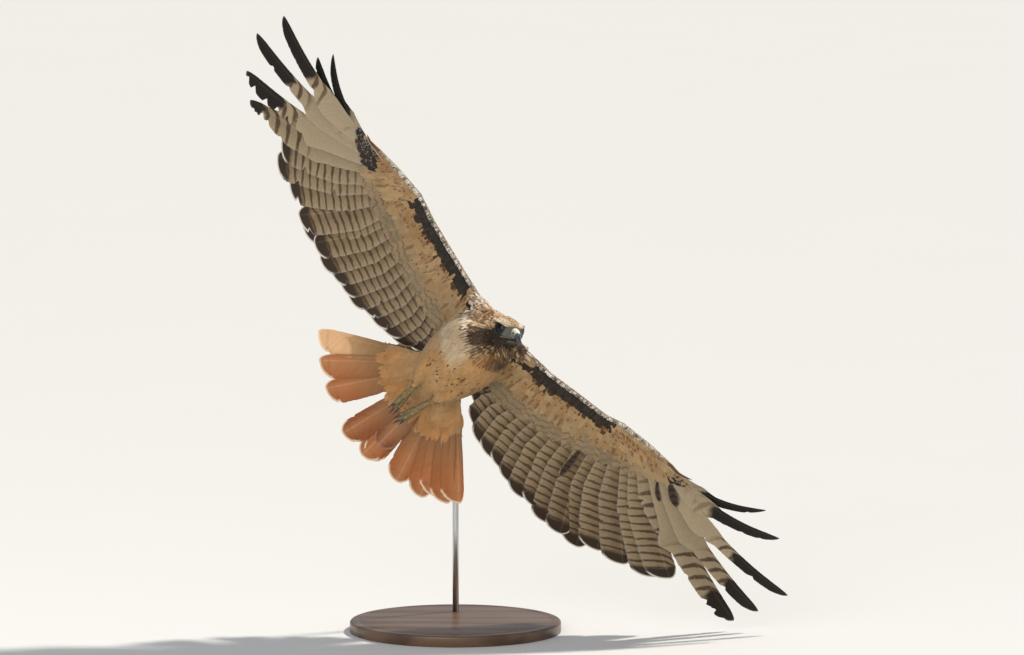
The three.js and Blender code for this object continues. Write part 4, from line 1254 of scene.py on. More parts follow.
def coatShell(tree, root, normal, flow, length, width, lift, jag, across, steps):
    # shaft: the parabola through three points of the skin, raised by lift s above it;
    # the webs bend down by the skin's own curve across and by a cup of their own
    s = np.linspace(0, 1, steps)[None, :, None]
    middle, middleUp = nearest(tree, root + flow * (length * 0.5)[:, None])
    tip, tipUp = nearest(tree, root + flow * length[:, None])
    short = np.linalg.norm(tip - root, axis=1) < 0.72 * length
    tip[short] = (root + flow * length[:, None])[short]
    middle[short] = (root + flow * (length * 0.5)[:, None])[short]
    middleUp[short], tipUp[short] = normal[short], normal[short]
    basis = (1 - s) * (1 - 2 * s), 4 * s * (1 - s), s * (2 * s - 1)
    centre = basis[0] * root[:, None] + basis[1] * middle[:, None] + basis[2] * tip[:, None]
    up = unit(basis[0] * normal[:, None] + basis[1] * middleUp[:, None] + basis[2] * tipUp[:, None])
    centre = centre + up * (lift[:, None, None] * s - 0.5 * (1 - ease(s * 3)))
    ahead = unit(np.gradient(centre, axis=1))
    side = unit(np.cross(up, ahead))
    half = width / 2
    across1, _ = nearest(tree, middle + side[:, steps // 2] * half[:, None])
    across2, _ = nearest(tree, middle - side[:, steps // 2] * half[:, None])
    bend = -np.einsum("ij,ij->i", (across1 + across2) / 2 - middle, middleUp)
    share = along([(0, 0.4), (0.25, 0.78), (0.55, 1), (0.8, 0.88), (0.92, 0.6), (1, 0.2)], s[..., 0])
    full = half[:, None] * share
    camber = (np.clip(bend, -1, 6) + 0.03 * width)[:, None] * share**2
    thick = np.broadcast_to(0.24 * (1 - 0.4 * s[..., 0]), full.shape)
    shell, wrong = featherShell(centre, side, up, full, full, camber, thick, thick * 0, across)
    teeth = rng.uniform(-1, 1, (len(root), 1, shell.shape[2], 1)) * (length * jag)[:, None, None, None]
    shell = shell + teeth * past(s[..., None], 0.55, 0.4) * ahead[:, :, None]
    return shell, wrong


coatRegions = [
    # name, parts of the skin, spacing and width as shares of the length, lift, jag, points across, stations
    ("head", (headPart,), 0.19, 0.33, 0.1, 0.04, [-1, 0, 1], 5),
    ("neck", (neckPart,), 0.13, 0.27, 0.07, 0.05, smallAcross, 5),
    ("belly", (torsoPart,), 0.155, 0.32, 0.045, 0.05, smallAcross, 5),
    ("back", (backPart,), 0.2, 0.46, 0.06, 0.04, covertAcross, 6),
    ("rump", (thighPart, padPart), 0.14, 0.32, 0.035, 0.06, smallAcross, 6),
]
# how far a tip may stand off the skin, as a share of the feather's length, for each part
strayShares = [
    (torsoPart, 0.55), (neckPart, 0.55), (headPart, 1.1), (thighPart, 0.8), (padPart, 9), (backPart, 0.55),
]
coat = {"halfWidth": 74, "tries": 7, "billFrom": 17, "padReach": 113, "wingFrom": 68, "faceStray": 0.42}


def coatLength(points, part):
    head = intoHead(points)
    x = points[:, 0]
    face = np.clip((head[:, 0] + 44) / 60, 0, 1)
    length = along([(0, 12), (0.45, 9), (0.7, 6), (1, 3.6)], face)
    neck = along([(24, 17), (50, 13)], x)
    body = along([(-200, 33), (-150, 27), (-100, 22), (-40, 20), (10, 18), (40, 15)], x)
    back = along([(-200, 32), (-60, 30), (20, 20), (40, 15)], x)
    body = np.where(part == backPart, back, body)
    length = np.where(part == headPart, length, np.where(part == neckPart, neck, body))
    return np.where(part == thighPart, 13, np.where(part == padPart, 33, length))


def coatLooks(points, normals, part, length, width):
    x, y, z = points.T
    head = intoHead(points)
    count = len(points)
    chance, second = rng.random(count), rng.random(count)
    blotch, fine = patches(points, 60, 11), patches(points, 17, 12)
    under = before(normals[:, 2], 0.3, 0.5)
    plane = tailPlane(x)
    under[part == padPart] = (z < plane)[part == padPart]
    under[(part == thighPart) | ((x < -100) & (z < plane - 3))] = 1
    ground = blendTone(tones["belly"], tones["buff"] * [1.05, 0.9, 0.72], 0.7 * blotch)
    ground = blendTone(ground, tones["cream"], 0.35 * fine + 0.2 * chance)
    ink = np.tile(tones["rufous"] * 0.45, (count, 1))
    marks = np.zeros((count, 4))
    # pale breast on the right, rufous streaks on the left of the breast, cream undertail
    breast = past(x, -34, 22) * before(y, 16, 22)
    ground = blendTone(ground, tones["pale"] * [0.95, 0.9, 0.84], (0.55 + 0.35 * fine) * breast)
    flank = before(y, -34, 20) * past(x, -150, 60)
    ground = blendTone(ground, tones["pale"] * 0.85, 0.4 * flank)
    throat = past(x, 2, 14) * ease((y - 14 + 14 * fine) / 12)
    ground = blendTone(ground, tones["rufous"] * 1.1, throat * (0.45 + 0.5 * fine) * (second < 0.75))
    ground = blendTone(ground, tones["cream"], before(x, -105, 35) * (0.25 + 0.25 * fine))
    fromHinge = np.linalg.norm(points - tailHinge, axis=1)
    rusty = past(fromHinge, 62, 40) * before(x, -130, 15) * (0.45 + 0.5 * chance)
    ground = blendTone(ground, np.array([0.42, 0.2, 0.075]), rusty)
    # belly band of small dark marks
    band = before(x, -12, 12) * past(x, -72, 14) * past(y, -44, 14)
    marks[:, 1] = (second < 0.15 * band) * 0.95
    marks[:, 0] = ((chance > 0.93) & (x > -90)) * 0.4
    ground = ground * blendTone(np.array([0.97, 0.88, 0.74]), np.ones(3), breast)
    # brown back with dark shafts and pale mottling on the shoulders
    back = 1 - under
    upper = blendTone(tones["brown"] * 1.1, tones["tawny"] * 0.8, 0.7 * chance)
    mottled = (np.abs(y) > 20) & (second < 0.35) & (x < 0)
    upper[mottled] = blendTone(tones["tawny"], tones["cream"], chance[mottled])
    rusty = past(fromHinge, 50, 30) * (part == padPart)
    upper = blendTone(upper, blendTone(np.array([0.36, 0.16, 0.06]), tones["cream"], 0.7 * chance), rusty)
    ground = blendTone(ground, upper, back)
    marks[:, 0] = np.where(back > 0.5, 0.8 * (1 - rusty), marks[:, 0])
    marks[:, 1] *= under
    marks[:, 3] = 0.25 * back
    ink = blendTone(ink, tones["dark"] * 1.3, back)
    # head and neck: rise runs up the side of the face, with the eye at 3.5, and back runs to the nape
    acrossHead = np.abs(head[:, 1])
    rise = -0.17 * head[:, 0] + 0.14 * acrossHead + 0.98 * head[:, 2]
    back = -0.4 * head[:, 0] + 0.9 * acrossHead - 0.2 * head[:, 2]
    # painted shade: dark brown on the left of the throat, under the head
    deep = past(y, 26, 12) * past(x, 6, 8) * before(z, -20, 8) * past(z, -78, 14)
    ground = blendTone(ground, tones["brown"] * (0.5 + 0.7 * chance[:, None]), deep * (0.6 + 0.4 * fine))
    near = before(back, 73, 7) * past(rise, -60, 12) * ((part <= headPart) & (x > 8))
    # crown and nape: pale streaked with brown, and brightened as painted sunlight
    crown = near * ease((rise - 1 + 4 * fine) / 4)
    streaky = blendTone(tones["tawny"] * 1.8, tones["pale"] * [1.25, 1.04, 0.85], 0.3 + 0.8 * chance)
    streaky = blendTone(streaky, tones["brown"], (second < 0.22) * 0.85)
    tuft = crown * ease((back - 50 + 16 * (patches(points, 9, 13) - 0.5)) / 10)
    streaky = blendTone(streaky, tones["white"] * [1, 0.95, 0.85], tuft * (second > 0.25) * 0.85)
    ground = blendTone(ground, streaky, crown)
    # dark cheek: its own dark brown, darkened further toward the bill as painted shade
    cheek = near * past(rise, -25, 3) * ease((2 - rise + 3 * fine) / 5) * ease((57 - back + 6 * fine) / 7)
    shadow = blendTone(tones["brown"] * 0.4, tones["brown"] * 0.95, chance**2 + 0.3 * before(rise, -8, 10))
    shadow = blendTone(shadow, tones["brown"] * 1.9, (second < 0.24) * past(back, 26, 12) * 0.8)
    shadow = blendTone(shadow, tones["tawny"], (second > 0.95) * past(back, 30, 10) * 0.8)
    shadow = shadow * (0.55 + 0.6 * past(back, 22, 26))[:, None]
    ground = blendTone(ground, shadow, cheek)
    band = near * before(rise, -23, 2.5) * past(rise, -38, 5) * before(back, 58, 10)
    streaks = blendTone(tones["brown"] * 0.8, tones["cream"], (second > 0.5) * (0.4 + 0.6 * chance))
    streaks = blendTone(streaks, tones["rufous"] * 1.2, second < 0.18)
    ground = blendTone(ground, streaks, band * 0.9)
    lore = near * past(head[:, 0], 7, 4) * before(head[:, 2], 7, 4) * past(head[:, 2], -13, 4)
    ground = blendTone(ground, np.array([0.125, 0.13, 0.105]), lore * 0.85)
    below = along([(place[0], place[2]) for place in browLine], head[:, 0]) - head[:, 2]
    brow = (part == headPart) * past(head[:, 0], -17, 4) * before(head[:, 0], 15, 3)
    brow = brow * past(acrossHead, 6, 3)
    # painted highlight: the brow's ridge is lightened toward white, as if sunlit
    ridge = brow * before(below, 1.6, 1) * past(below, -4.5, 2)
    ground = blendTone(ground, tones["white"] * [1.1, 1.0, 0.85], (0.45 + 0.5 * chance) * ridge)
    # painted shadow: a dark line under the brow's ridge, over the top of the eye
    browShadow = brow * past(below, 1.6, 0.8) * before(below, 5.2, 1.2)
    ground = blendTone(ground, tones["dark"] * 0.8, 0.9 * browShadow)
    skull = near > 0.5
    low = np.where(y < 0, -36, -22)
    shoulder = ease((np.abs(y) - 26) / 8) * past(x, 8, 8) * ease((z - low) / 8)
    shoulder[part == headPart] = 0
    pale = blendTone(tones["tawny"] * 1.7, tones["white"], chance)
    pale = blendTone(pale, tones["brown"], (second < 0.2) * 0.8)
    ground = blendTone(ground, pale, shoulder * 0.9)
    ink[skull] = tones["dark"] * 1.3
    marks[skull] = 0
    marks[skull, 0] = (0.8 * (chance < 0.42) * (1 - 0.8 * cheek) * (1 - 0.7 * tuft))[skull]
    ground = ground * rng.uniform(0.9, 1.1, (count, 1))
    sizes = np.stack([length, width / 2, rng.uniform(0, 1, count)], -1)
    return {"ground": ground, "ink": ink, "marks": marks, "sizes": sizes}


def growCoat(skin, finish):
    points = skinPoints(skin)
    skin.calc_loop_triangles()
    tris = np.zeros(len(skin.loop_triangles) * 3, int)
    skin.loop_triangles.foreach_get("vertices", tris)
    tris = tris.reshape(-1, 3)
    tree = BVHTree.FromPolygons(points.tolist(), tris.tolist())
    a, b, c = points[tris[:, 0]], points[tris[:, 1]], points[tris[:, 2]]
    cross = np.cross(b - a, c - a)
    area, normal = np.linalg.norm(cross, axis=1) / 2, unit(cross)
    middle = (a + b + c) / 3
    part = partOf(middle, normal)
    part[(part == torsoPart) & (normal[:, 2] > 0.12)] = backPart
    length = coatLength(middle, part)
    for name, parts, share, breadth, rise, jag, across, steps in coatRegions:
        inside = np.isin(part, parts) & (np.abs(middle[:, 1]) < coat["halfWidth"])
        chance = np.where(inside, area / (length * share) ** 2, 0)
        wanted = int(chance.sum() * coat["tries"])
        pick = rng.choice(len(area), wanted, p=chance / chance.sum())
        f = rng.random((wanted, 2))
        f = np.where(f.sum(1, keepdims=True) > 1, 1 - f, f)
        root = a[pick] + (b - a)[pick] * f[:, :1] + (c - a)[pick] * f[:, 1:]
        size = length[pick]
        kept = spread(root, size * share)
        root, pick, size = root[kept], pick[kept], size[kept]
        head = intoHead(root)
        eyeSide = np.sign(head[:, 1])
        eyePlace = np.stack([eye["ahead"] + 0 * eyeSide, eyeSide * (eye["spread"] + 2), 0 * eyeSide], -1)
        fromEye = np.linalg.norm((head - eyePlace) * [1, 0.5, 1], axis=1)
        inBill = head[:, 0] > coat["billFrom"]
        pastTail = (part[pick] == padPart) & (np.linalg.norm(root - tailHinge, axis=1) > coat["padReach"])
        onWing = (np.abs(root[:, 1]) > coat["wingFrom"]) & (normal[pick][:, 0] > 0.25)
        bare = (part[pick] == headPart) & ((fromEye < eye["radius"] + 0.7) | inBill) | pastTail | onWing
        root, pick, size = root[~bare], pick[~bare], size[~bare]
        up, where = normal[pick], part[pick]
        flow = flowAt(root, up, where)
        size = size * rng.uniform(0.88, 1.12, len(size))
        head = intoHead(root)
        size = np.where((head[:, 0] > 8) & (np.abs(head[:, 1]) > 6) & (head[:, 2] > 3), size * 0.7, size)
        flow = unit(flow + np.cross(up, flow) * rng.normal(0, 0.09, (len(size), 1)))
        tip = root + flow * size[:, None]
        face = (where == headPart) & (head[:, 0] > -4)
        allowed = np.where(face, coat["faceStray"], along(strayShares, where)) * size
        astray = np.linalg.norm(nearest(tree, tip)[0] - tip, axis=1) > allowed
        root, up, where, flow, size = (rows[~astray] for rows in (root, up, where, flow, size))
        width = size * breadth
        lift = size * rise * rng.uniform(0.7, 1.3, len(size))
        where = np.where(where == backPart, torsoPart, where)
        shell = coatShell(tree, root, up, flow, size, width, lift, jag, across, steps)
        looks = coatLooks(root, up, where, size, width)
        patch = unwrap(root, where), featherPatch
        featherPiece(f"coat_{name}", shell, across, looks, finish, patch)
        print("coat", name, len(root), "feathers")


def skinUv(skin):
    points = skinPoints(skin)
    loops = np.zeros(len(skin.loops), int)
    skin.loops.foreach_get("vertex_index", loops)
    totals = np.zeros(len(skin.polygons), int)
    skin.polygons.foreach_get("loop_total", totals)
    owner = np.repeat(np.arange(len(totals)), totals)
    centres = np.zeros((len(totals), 3))
    np.add.at(centres, owner, points[loops])
    centres /= totals[:, None]
    normals = np.zeros(len(totals) * 3)
    skin.polygons.foreach_get("normal", normals)
    normals = normals.reshape(-1, 3) @ birdTurn
    part = partOf(centres, normals)
    addUv(skin, "OFBake", unwrap(points[loops], part[owner], centres[owner]))
    colour = blendTone(tones["brown"], tones["belly"] * 0.9, before(normals[:, 2], 0.2, 0.4))
    colour[part == headPart] = tones["brown"]
    rows = np.ones((len(points), 4))
    rows[loops, :3] = colour[owner]
    addValues(skin, "ground", rows)


def skinFinish():
    finish = Finish("down", Sheen_Weight=0.1)
    down = finish.noise(finish.place(), 420.0, 4)
    finish.feed("Base Color", finish.shade(finish.attribute("ground"), 0.6 + 0.6 * down))
    finish.feed("Roughness", 0.75 + 0.15 * down)
    finish.bump(down, 0.6, 0.0008)
    return finish


skin = makeSkin()
skinUv(skin)
addPiece("skin", skin, skinFinish(), ("torso", "neck", "head", "leg_left", "leg_right"))
print("skin", len(skin.polygons), "faces")
growCoat(skin, plumageFinish("plumage"))

flightLook = flightFinish("flightFeathers")
covertLook = plumageFinish("covertFeathers", barbPitch=1.0)
for name, wing in wings.items():
    plan = flightPlan(wing)
    shell, stations = flightShell(wing, plan)
    looks = flightLooks(wing, plan)
    looks["stations"] = stations
    patch, solids = atlas(len(plan)), (f"wing_{name}",)
    featherPiece(f"flight_{name}", shell, featherAcross, looks, flightLook, patch, solids)
    for face, label in ((-1, "under"), (1, "upper")):
        rows = layCoverts(wing, plan, face)
        root = wingPoint(wing, rows["out"], rows["back"], face, 0)
        part = np.full(len(root), wingUnder if face < 0 else wingTop)
        shell = covertShell(wing, face, rows, covertAcross, covertSteps)
        looks = covertLooks(wing, rows, face)
        looks["stations"] = covertStations(covertSteps)
        patch, title = (unwrap(root, part), featherPatch), f"coverts_{name}_{label}"
        featherPiece(title, shell, covertAcross, looks, covertLook, patch)
    addAlula(name, wing)
    print("wing", name)


# Tail

tailFeather = {
    "width": 42,
    "root": 52,
    "cap": 24,
    "stations": 56,
    "tilt": 3.5,
    "thick": 0.5,
    "short": 5,
    "shaded": 3,
    "lit": 0,
}


def tailShell():
    fan = np.array(tailFan)
    count, steps = len(fan), tailFeather["stations"]
    t = 1 - (1 - np.linspace(0, 1, steps)) ** 1.2
    middle = (count - 1) / 2
    fromMiddle = np.arange(count) - middle
    reach = tailFeather["root"] + (fan[:, 1:] - tailFeather["root"]) * t
    up = 1.1 * (middle - np.abs(fromMiddle))[:, None] * t - 3 * t * t
    up[tailFeather["short"]] -= 5 * t
    centre = tailPoint(np.broadcast_to(fan[:, :1], reach.shape), reach, up)
    angle = np.radians(fan[:, 0])
    slope = np.tan(np.radians(np.sign(fromMiddle) * tailFeather["tilt"]))
    side = unit(np.stack([np.sin(angle), np.cos(angle), slope], -1))
    side = np.broadcast_to(side[:, None], centre.shape)
    up = unit(np.cross(np.gradient(centre, axis=1), side))
    up = up * np.sign(up[..., 2:])
    length = fan[:, 1] - tailFeather["root"]
    capLength = (tailFeather["cap"] / length)[:, None]
    cap = np.clip((t - 1 + capLength) / capLength, 0, 1)
    full = tailFeather["width"] * along([(0, 0.2), (0.25, 0.6), (0.55, 0.92), (0.8, 1), (1, 1)], t)[None]
    full = full * np.sqrt(np.clip(1 - cap**2.1, 0.004, 1))
    outer = (0.5 - 0.3 * fromMiddle / middle)[:, None]
    front, rear = full * outer, full * (1 - outer)
    for web in (front, rear):
        place, depth = rng.uniform(0.8, 0.99, (count, 1)), rng.uniform(0.0, 0.14, (count, 1))
        web *= 1 - depth * np.exp(-(((t - place) / 0.01) ** 2))
        web *= 1 + 0.01 * rng.standard_normal(web.shape)
    camber = np.broadcast_to((1.2 * np.sin(pi * t))[None], full.shape)
    ridge = np.broadcast_to((1.5 * (1 - t) + 0.3)[None], full.shape)
    thick = np.broadcast_to((tailFeather["thick"] * (1 - 0.3 * t))[None], full.shape)
    return featherShell(centre, side, up, front, rear, camber, thick, ridge, featherAcross), t


def tailLooks():
    count = len(tailFan)
    chance = rng.random(count)
    place = np.arange(count)
    outerRight = before(place, 1.2, 1.2)
    ground = blendTone(tones["tailUnder"] * [0.86, 0.78, 0.7], tones["tailUnder"] * 1.1, chance)
    ground = blendTone(ground, np.array([0.46, 0.29, 0.13]), outerRight)
    # painted shade: the overlapped fourth feather and the short dropped feather are darkened
    ground[tailFeather["shaded"]] *= [0.72, 0.62, 0.6]
    ground[tailFeather["short"]] *= [0.5, 0.42, 0.45]
    ink = np.tile([0.50, 0.235, 0.10], (count, 1))
    marks = np.zeros((count, 3))
    # the outermost feather carries the painted sunlit end, and the short feather a plain tip
    marks[tailFeather["lit"], 0] = marks[tailFeather["short"], 1] = 1
    length = np.array(tailFan)[:, 1] - tailFeather["root"]
    sizes = np.stack([length, np.full(count, 20.0), rng.random(count)], -1)
    return {"ground": ground, "ink": ink, "marks": marks, "sizes": sizes}


shell, stations = tailShell()
looks = tailLooks()
looks["stations"] = stations
patch, tailLook = atlas(len(tailFan), 4), tailFinish("tail")
featherPiece("tail_feathers", shell, featherAcross, looks, tailLook, patch, ("tail",))
print("tail")


# Bill and cere, in the head frame

billRings = [
    (12, -4, 8.6, 9.4),
    (18, -3.5, 7.1, 8.8),
    (23, -4.3, 6, 7.8),
    (27, -5.9, 5.2, 6.8),
    (30.5, -8.8, 4.5, 5.6),
    (33, -12.4, 3.6, 4.4),
    (33.8, -16.4, 2.2, 2.9),
    (33.2, -19.4, 1.2, 1.5),
    (32.4, -21.2, 0.5, 0.6),
]
jawRings = [
    (4, -17.5, 8.6, 3.6),
    (14, -16.6, 6.8, 3.2),
    (22, -15.6, 4.8, 2.6),
    (27, -15, 3.2, 2),
    (30, -14.4, 1.4, 1),
]
cereEnd = 26.4
nostril = {"place": (22.2, 6.3, -2.4), "size": (2.6, 2.4, 1.9), "depth": 2.0}
gapeRows = [(0.5, 19.5, -12.6), (6, 17.2, -12.4), (13, 13.2, -11.6), (20, 9.6, -11.2), (24, 7.4, -11.2)]
gapeRadii = [(0, 0.3), (0.15, 1.1), (0.45, 0.9), (0.65, 0.4), (1, 0.3)]
billSides = 64


def hornFinish(name, pale, dark, start, end, roughness):
    # darkens along the piece, from start to end on its own map
    finish = Finish(name, Coat_Weight=0.35, Coat_Roughness=0.2)
    v = finish.split(finish.uv("OFBake"))[1]
    grain = finish.noise(finish.place(), 900.0, 3)
    share = (v + (grain - 0.5) * 0.1).step(start, end)
    finish.feed("Base Color", finish.shade(finish.mix(share, pale, dark), 0.8 + 0.4 * grain))
    finish.feed("Roughness", roughness + 0.12 * grain)
    finish.bump(grain, 0.15, 0.0002)
    return finish


def billPieces():
    rows = curve(billRings, 110)
    rows[:, 2:] = np.maximum(rows[:, 2:], 0.25)
    centres = np.stack([rows[:, 0], 0 * rows[:, 0], rows[:, 1]], -1)
    rings = pathRings(centres, rows[:, 2], rows[:, 3], billSides, (0, 1, 0))
    cut = int(np.argmax(rows[:, 0] > cereEnd))
    cere = rings[: cut + 1].copy()
    # the nostrils are pits, and the cere swells a little at its front edge
    hollow = np.zeros(cere.shape[:2])
    for side in (1, -1):
        pit = np.linalg.norm((cere - np.array(nostril["place"]) * [1, side, 1]) / nostril["size"], axis=-1)
        cere -= np.array([0, side * nostril["depth"], 0]) * (1 - ease(pit / 1.1))[..., None]
        hollow = np.maximum(hollow, 1 - past(pit, 0.6, 0.5))
    swell = 1 + 0.05 * np.exp(-(((np.linspace(0, 1, len(cere)) - 0.93) / 0.08) ** 2))
    middle = cere.mean(1, keepdims=True)
    cere = middle + (cere - middle) * swell[:, None, None]
    horn = rings[cut:]
    # cutting edge: the underside is hollowed between two low ridges
    low = np.sin(2 * pi * (np.arange(billSides) + 0.5) / billSides)
    pinch = 1 - 0.1 * np.clip(-low - 0.5, 0, 1)
    middle = horn.mean(1, keepdims=True)
    horn = middle + (horn - middle) * pinch[None, :, None]
    cereFinish = Finish("cere", Coat_Weight=0.5, Coat_Roughness=0.22)
    grain = cereFinish.noise(cereFinish.place(), 700.0, 3)
    around = cereFinish.split(cereFinish.uv("OFBake"))[0]
    # painted light: cream on top as painted sunlight, grey-green on the sides as painted shade
    top = (around * 4 * pi).wave().step(0.15, 0.95)
    tint = cereFinish.mix(grain.step(0.3, 0.7), (0.13, 0.135, 0.10), (0.21, 0.205, 0.14))
    tint = cereFinish.mix(top, tint, (0.84, 0.78, 0.60))
    # painted shade: the nostril pits are nearly black
    pit = cereFinish.attribute("pit", "Fac")
    cereFinish.feed("Base Color", cereFinish.mix(pit, tint, (0.012, 0.011, 0.010)))
    cereFinish.feed("Roughness", 0.35 + 0.2 * grain)
    cereFinish.bump(grain, 0.3, 0.0003)
    hornLook = hornFinish("billHorn", (0.085, 0.09, 0.10), (0.012, 0.012, 0.014), 0.0, 0.4, 0.18)
    cereMesh = tubeMesh("cere_skin", cere, headToScene)
    addValues(cereMesh, "pit", np.append(hollow.ravel(), [0, 0]))
    addPiece("cere_skin", cereMesh, cereFinish, ("cere",))
    addPiece("bill_upper", tubeMesh("bill_upper", horn, headToScene), hornLook, ("upper_bill",))
    jaw = curve(jawRings, 24)
    centres = np.stack([jaw[:, 0], 0 * jaw[:, 0], jaw[:, 1]], -1)
    jawLook = hornFinish("jawHorn", (0.065, 0.066, 0.055), (0.015, 0.016, 0.019), 0.2, 0.7, 0.3)
    rings = pathRings(centres, jaw[:, 2], jaw[:, 3], 28, (0, 1, 0))
    addPiece("bill_lower", tubeMesh("bill_lower", rings, headToScene), jawLook, ("lower_bill",))
    gapeLook = Finish("gapeSkin", Roughness=0.5, Coat_Weight=0.2)
    grain = gapeLook.noise(gapeLook.place(), 800.0, 3)
    gapeLook.feed("Base Color", gapeLook.mix(grain, (0.10, 0.085, 0.03), (0.21, 0.175, 0.06)))
    for label, side in (("left", 1), ("right", -1)):
        line = curve(gapeRows, 24)
        line[:, 1] *= side
        radii = along(gapeRadii, np.linspace(0, 1, 24))
        mesh = tubeMesh(f"gape_{label}", pathRings(line, radii, radii * 0.8, 12), headToScene)
        addPiece(f"gape_{label}", mesh, gapeLook)


def eyeFinish():
    # iris and pupil are rings about the cornea's middle, read from the eye's own map
    finish = Finish("eyeball", Roughness=0.16, Specular_IOR_Level=0.25)
    u, v, _ = finish.split(finish.uv("OFBake"))
    rays = finish.noise(finish.join(u * 120, v * 6, 0.0), 1.0, 2)
    iris = finish.mix(rays, (0.020, 0.010, 0.005), (0.055, 0.028, 0.012))
    colour = finish.mix(v.step(0.44, 0.4), iris, (0.002, 0.002, 0.002))
    colour = finish.mix(v.step(0.74, 0.82), colour, (0.004, 0.003, 0.003))
    finish.feed("Base Color", colour)
    return finish


def eyePieces():
    look = eyeFinish()
    lidLook = Finish("lidSkin", Roughness=0.55)
    grain = lidLook.noise(lidLook.place(), 1500.0, 3)
    lidLook.feed("Base Color", lidLook.mix(grain, (0.005, 0.0048, 0.0045), (0.016, 0.015, 0.014)))
    lidLook.bump(grain, 0.4, 0.0003)
    for label, side in (("left", 1), ("right", -1)):
        steps = 40
        theta = np.linspace(0.03, pi - 0.03, steps)
        phi = 2 * pi * np.arange(steps) / steps
        y = np.cos(theta) * eye["depth"] * (1 + 0.12 * np.exp(-((theta / 0.7) ** 2)))
        ring = np.sin(theta)[:, None] * eye["radius"]
        y = np.broadcast_to(y[:, None] * side, (steps, steps))
        rings = np.stack([ring * np.cos(phi), y, ring * np.sin(phi)], -1)
        rings = rings @ turned("Z", -side * eye["turn"]).T + [eye["ahead"], side * eye["spread"], 0]
        mesh = tubeMesh(f"eyeball_{label}", rings, headToScene)
        addPiece(f"eyeball_{label}", mesh, look, (f"eye_{label}",))
        around = 2 * pi * np.arange(65) / 64
        lidRing = eye["radius"] - 0.2
        line = np.stack([lidRing * 1.06 * np.cos(around), 0 * around, lidRing * 0.98 * np.sin(around)], -1)
        middle = [eye["ahead"] + 0.8, side * (eye["spread"] + 1.4), 0]
        line = line @ turned("Z", -side * eye["turn"]).T + middle
        radii = eye["lid"] * (1 + 0.1 * np.sin(around * 9))
        rings = pathRings(line, radii, radii, 12, (0.5, 1, 0.2))
        addPiece(f"lids_{label}", tubeMesh(f"lids_{label}", rings, headToScene), lidLook)


billPieces()
eyePieces()
print("head parts")


# Feet

toeNames = ["inner", "middle", "outer", "hind"]
toeLength = {"inner": 30, "middle": 38, "outer": 31, "hind": 22}
clawLength = {"inner": 19, "middle": 17, "outer": 15, "hind": 21}
toeRadius = 4.1
clawRadius = 2.1
clawHook = 0.32
shankRadius = 4.6
toeTaper = [(0, 1), (0.4, 0.95), (0.8, 0.86), (0.97, 0.7), (1, 0.45)]
clawTaper = [(-0.14, 0.9), (0.1, 1), (0.35, 0.84), (0.6, 0.6), (0.82, 0.36), (1, 0.08)]


def toeLine(leg, name, t):
    spreadOut = {"inner": -5.2, "middle": 0, "outer": 5.2, "hind": 1.5}[name] * leg["side"]
    drop = -7.5 if name == "hind" else 0
    length = toeLength[name]
    bx, by, bz = leg["toes"]
    x = bx - length * t
    y = by + spreadOut * (0.5 + 0.5 * t) - 0.12 * length * t * leg["side"]
    z = bz + drop * ease(t * 2) + 5 * t * (1 - t) + (0 if name == "hind" else 0.12 * length * t)
    return np.stack([x, y, z], -1)


def scutedRings(line, radii, sides, pitch, pads):
    # radius swells by a sawtooth on top, one tooth a scute, and by round pads below
    rings = pathRings(line, radii, radii, sides)
    reach = np.append(0, np.cumsum(np.linalg.norm(np.diff(line, axis=0), axis=1)))
    angle = 2 * pi * (np.arange(sides) + 0.5) / sides
    tooth = (reach / pitch) % 1
    top = np.clip(np.sin(angle), 0, 1)[None] * (tooth**0.5 * 0.13)[:, None]
    low = np.clip(-np.sin(angle), 0, 1)[None] * (0.2 * np.abs(np.sin(pi * reach / pads)))[:, None]
    middle = rings.mean(1, keepdims=True)
    return middle + (rings - middle) * (1 + top + low)[..., None]


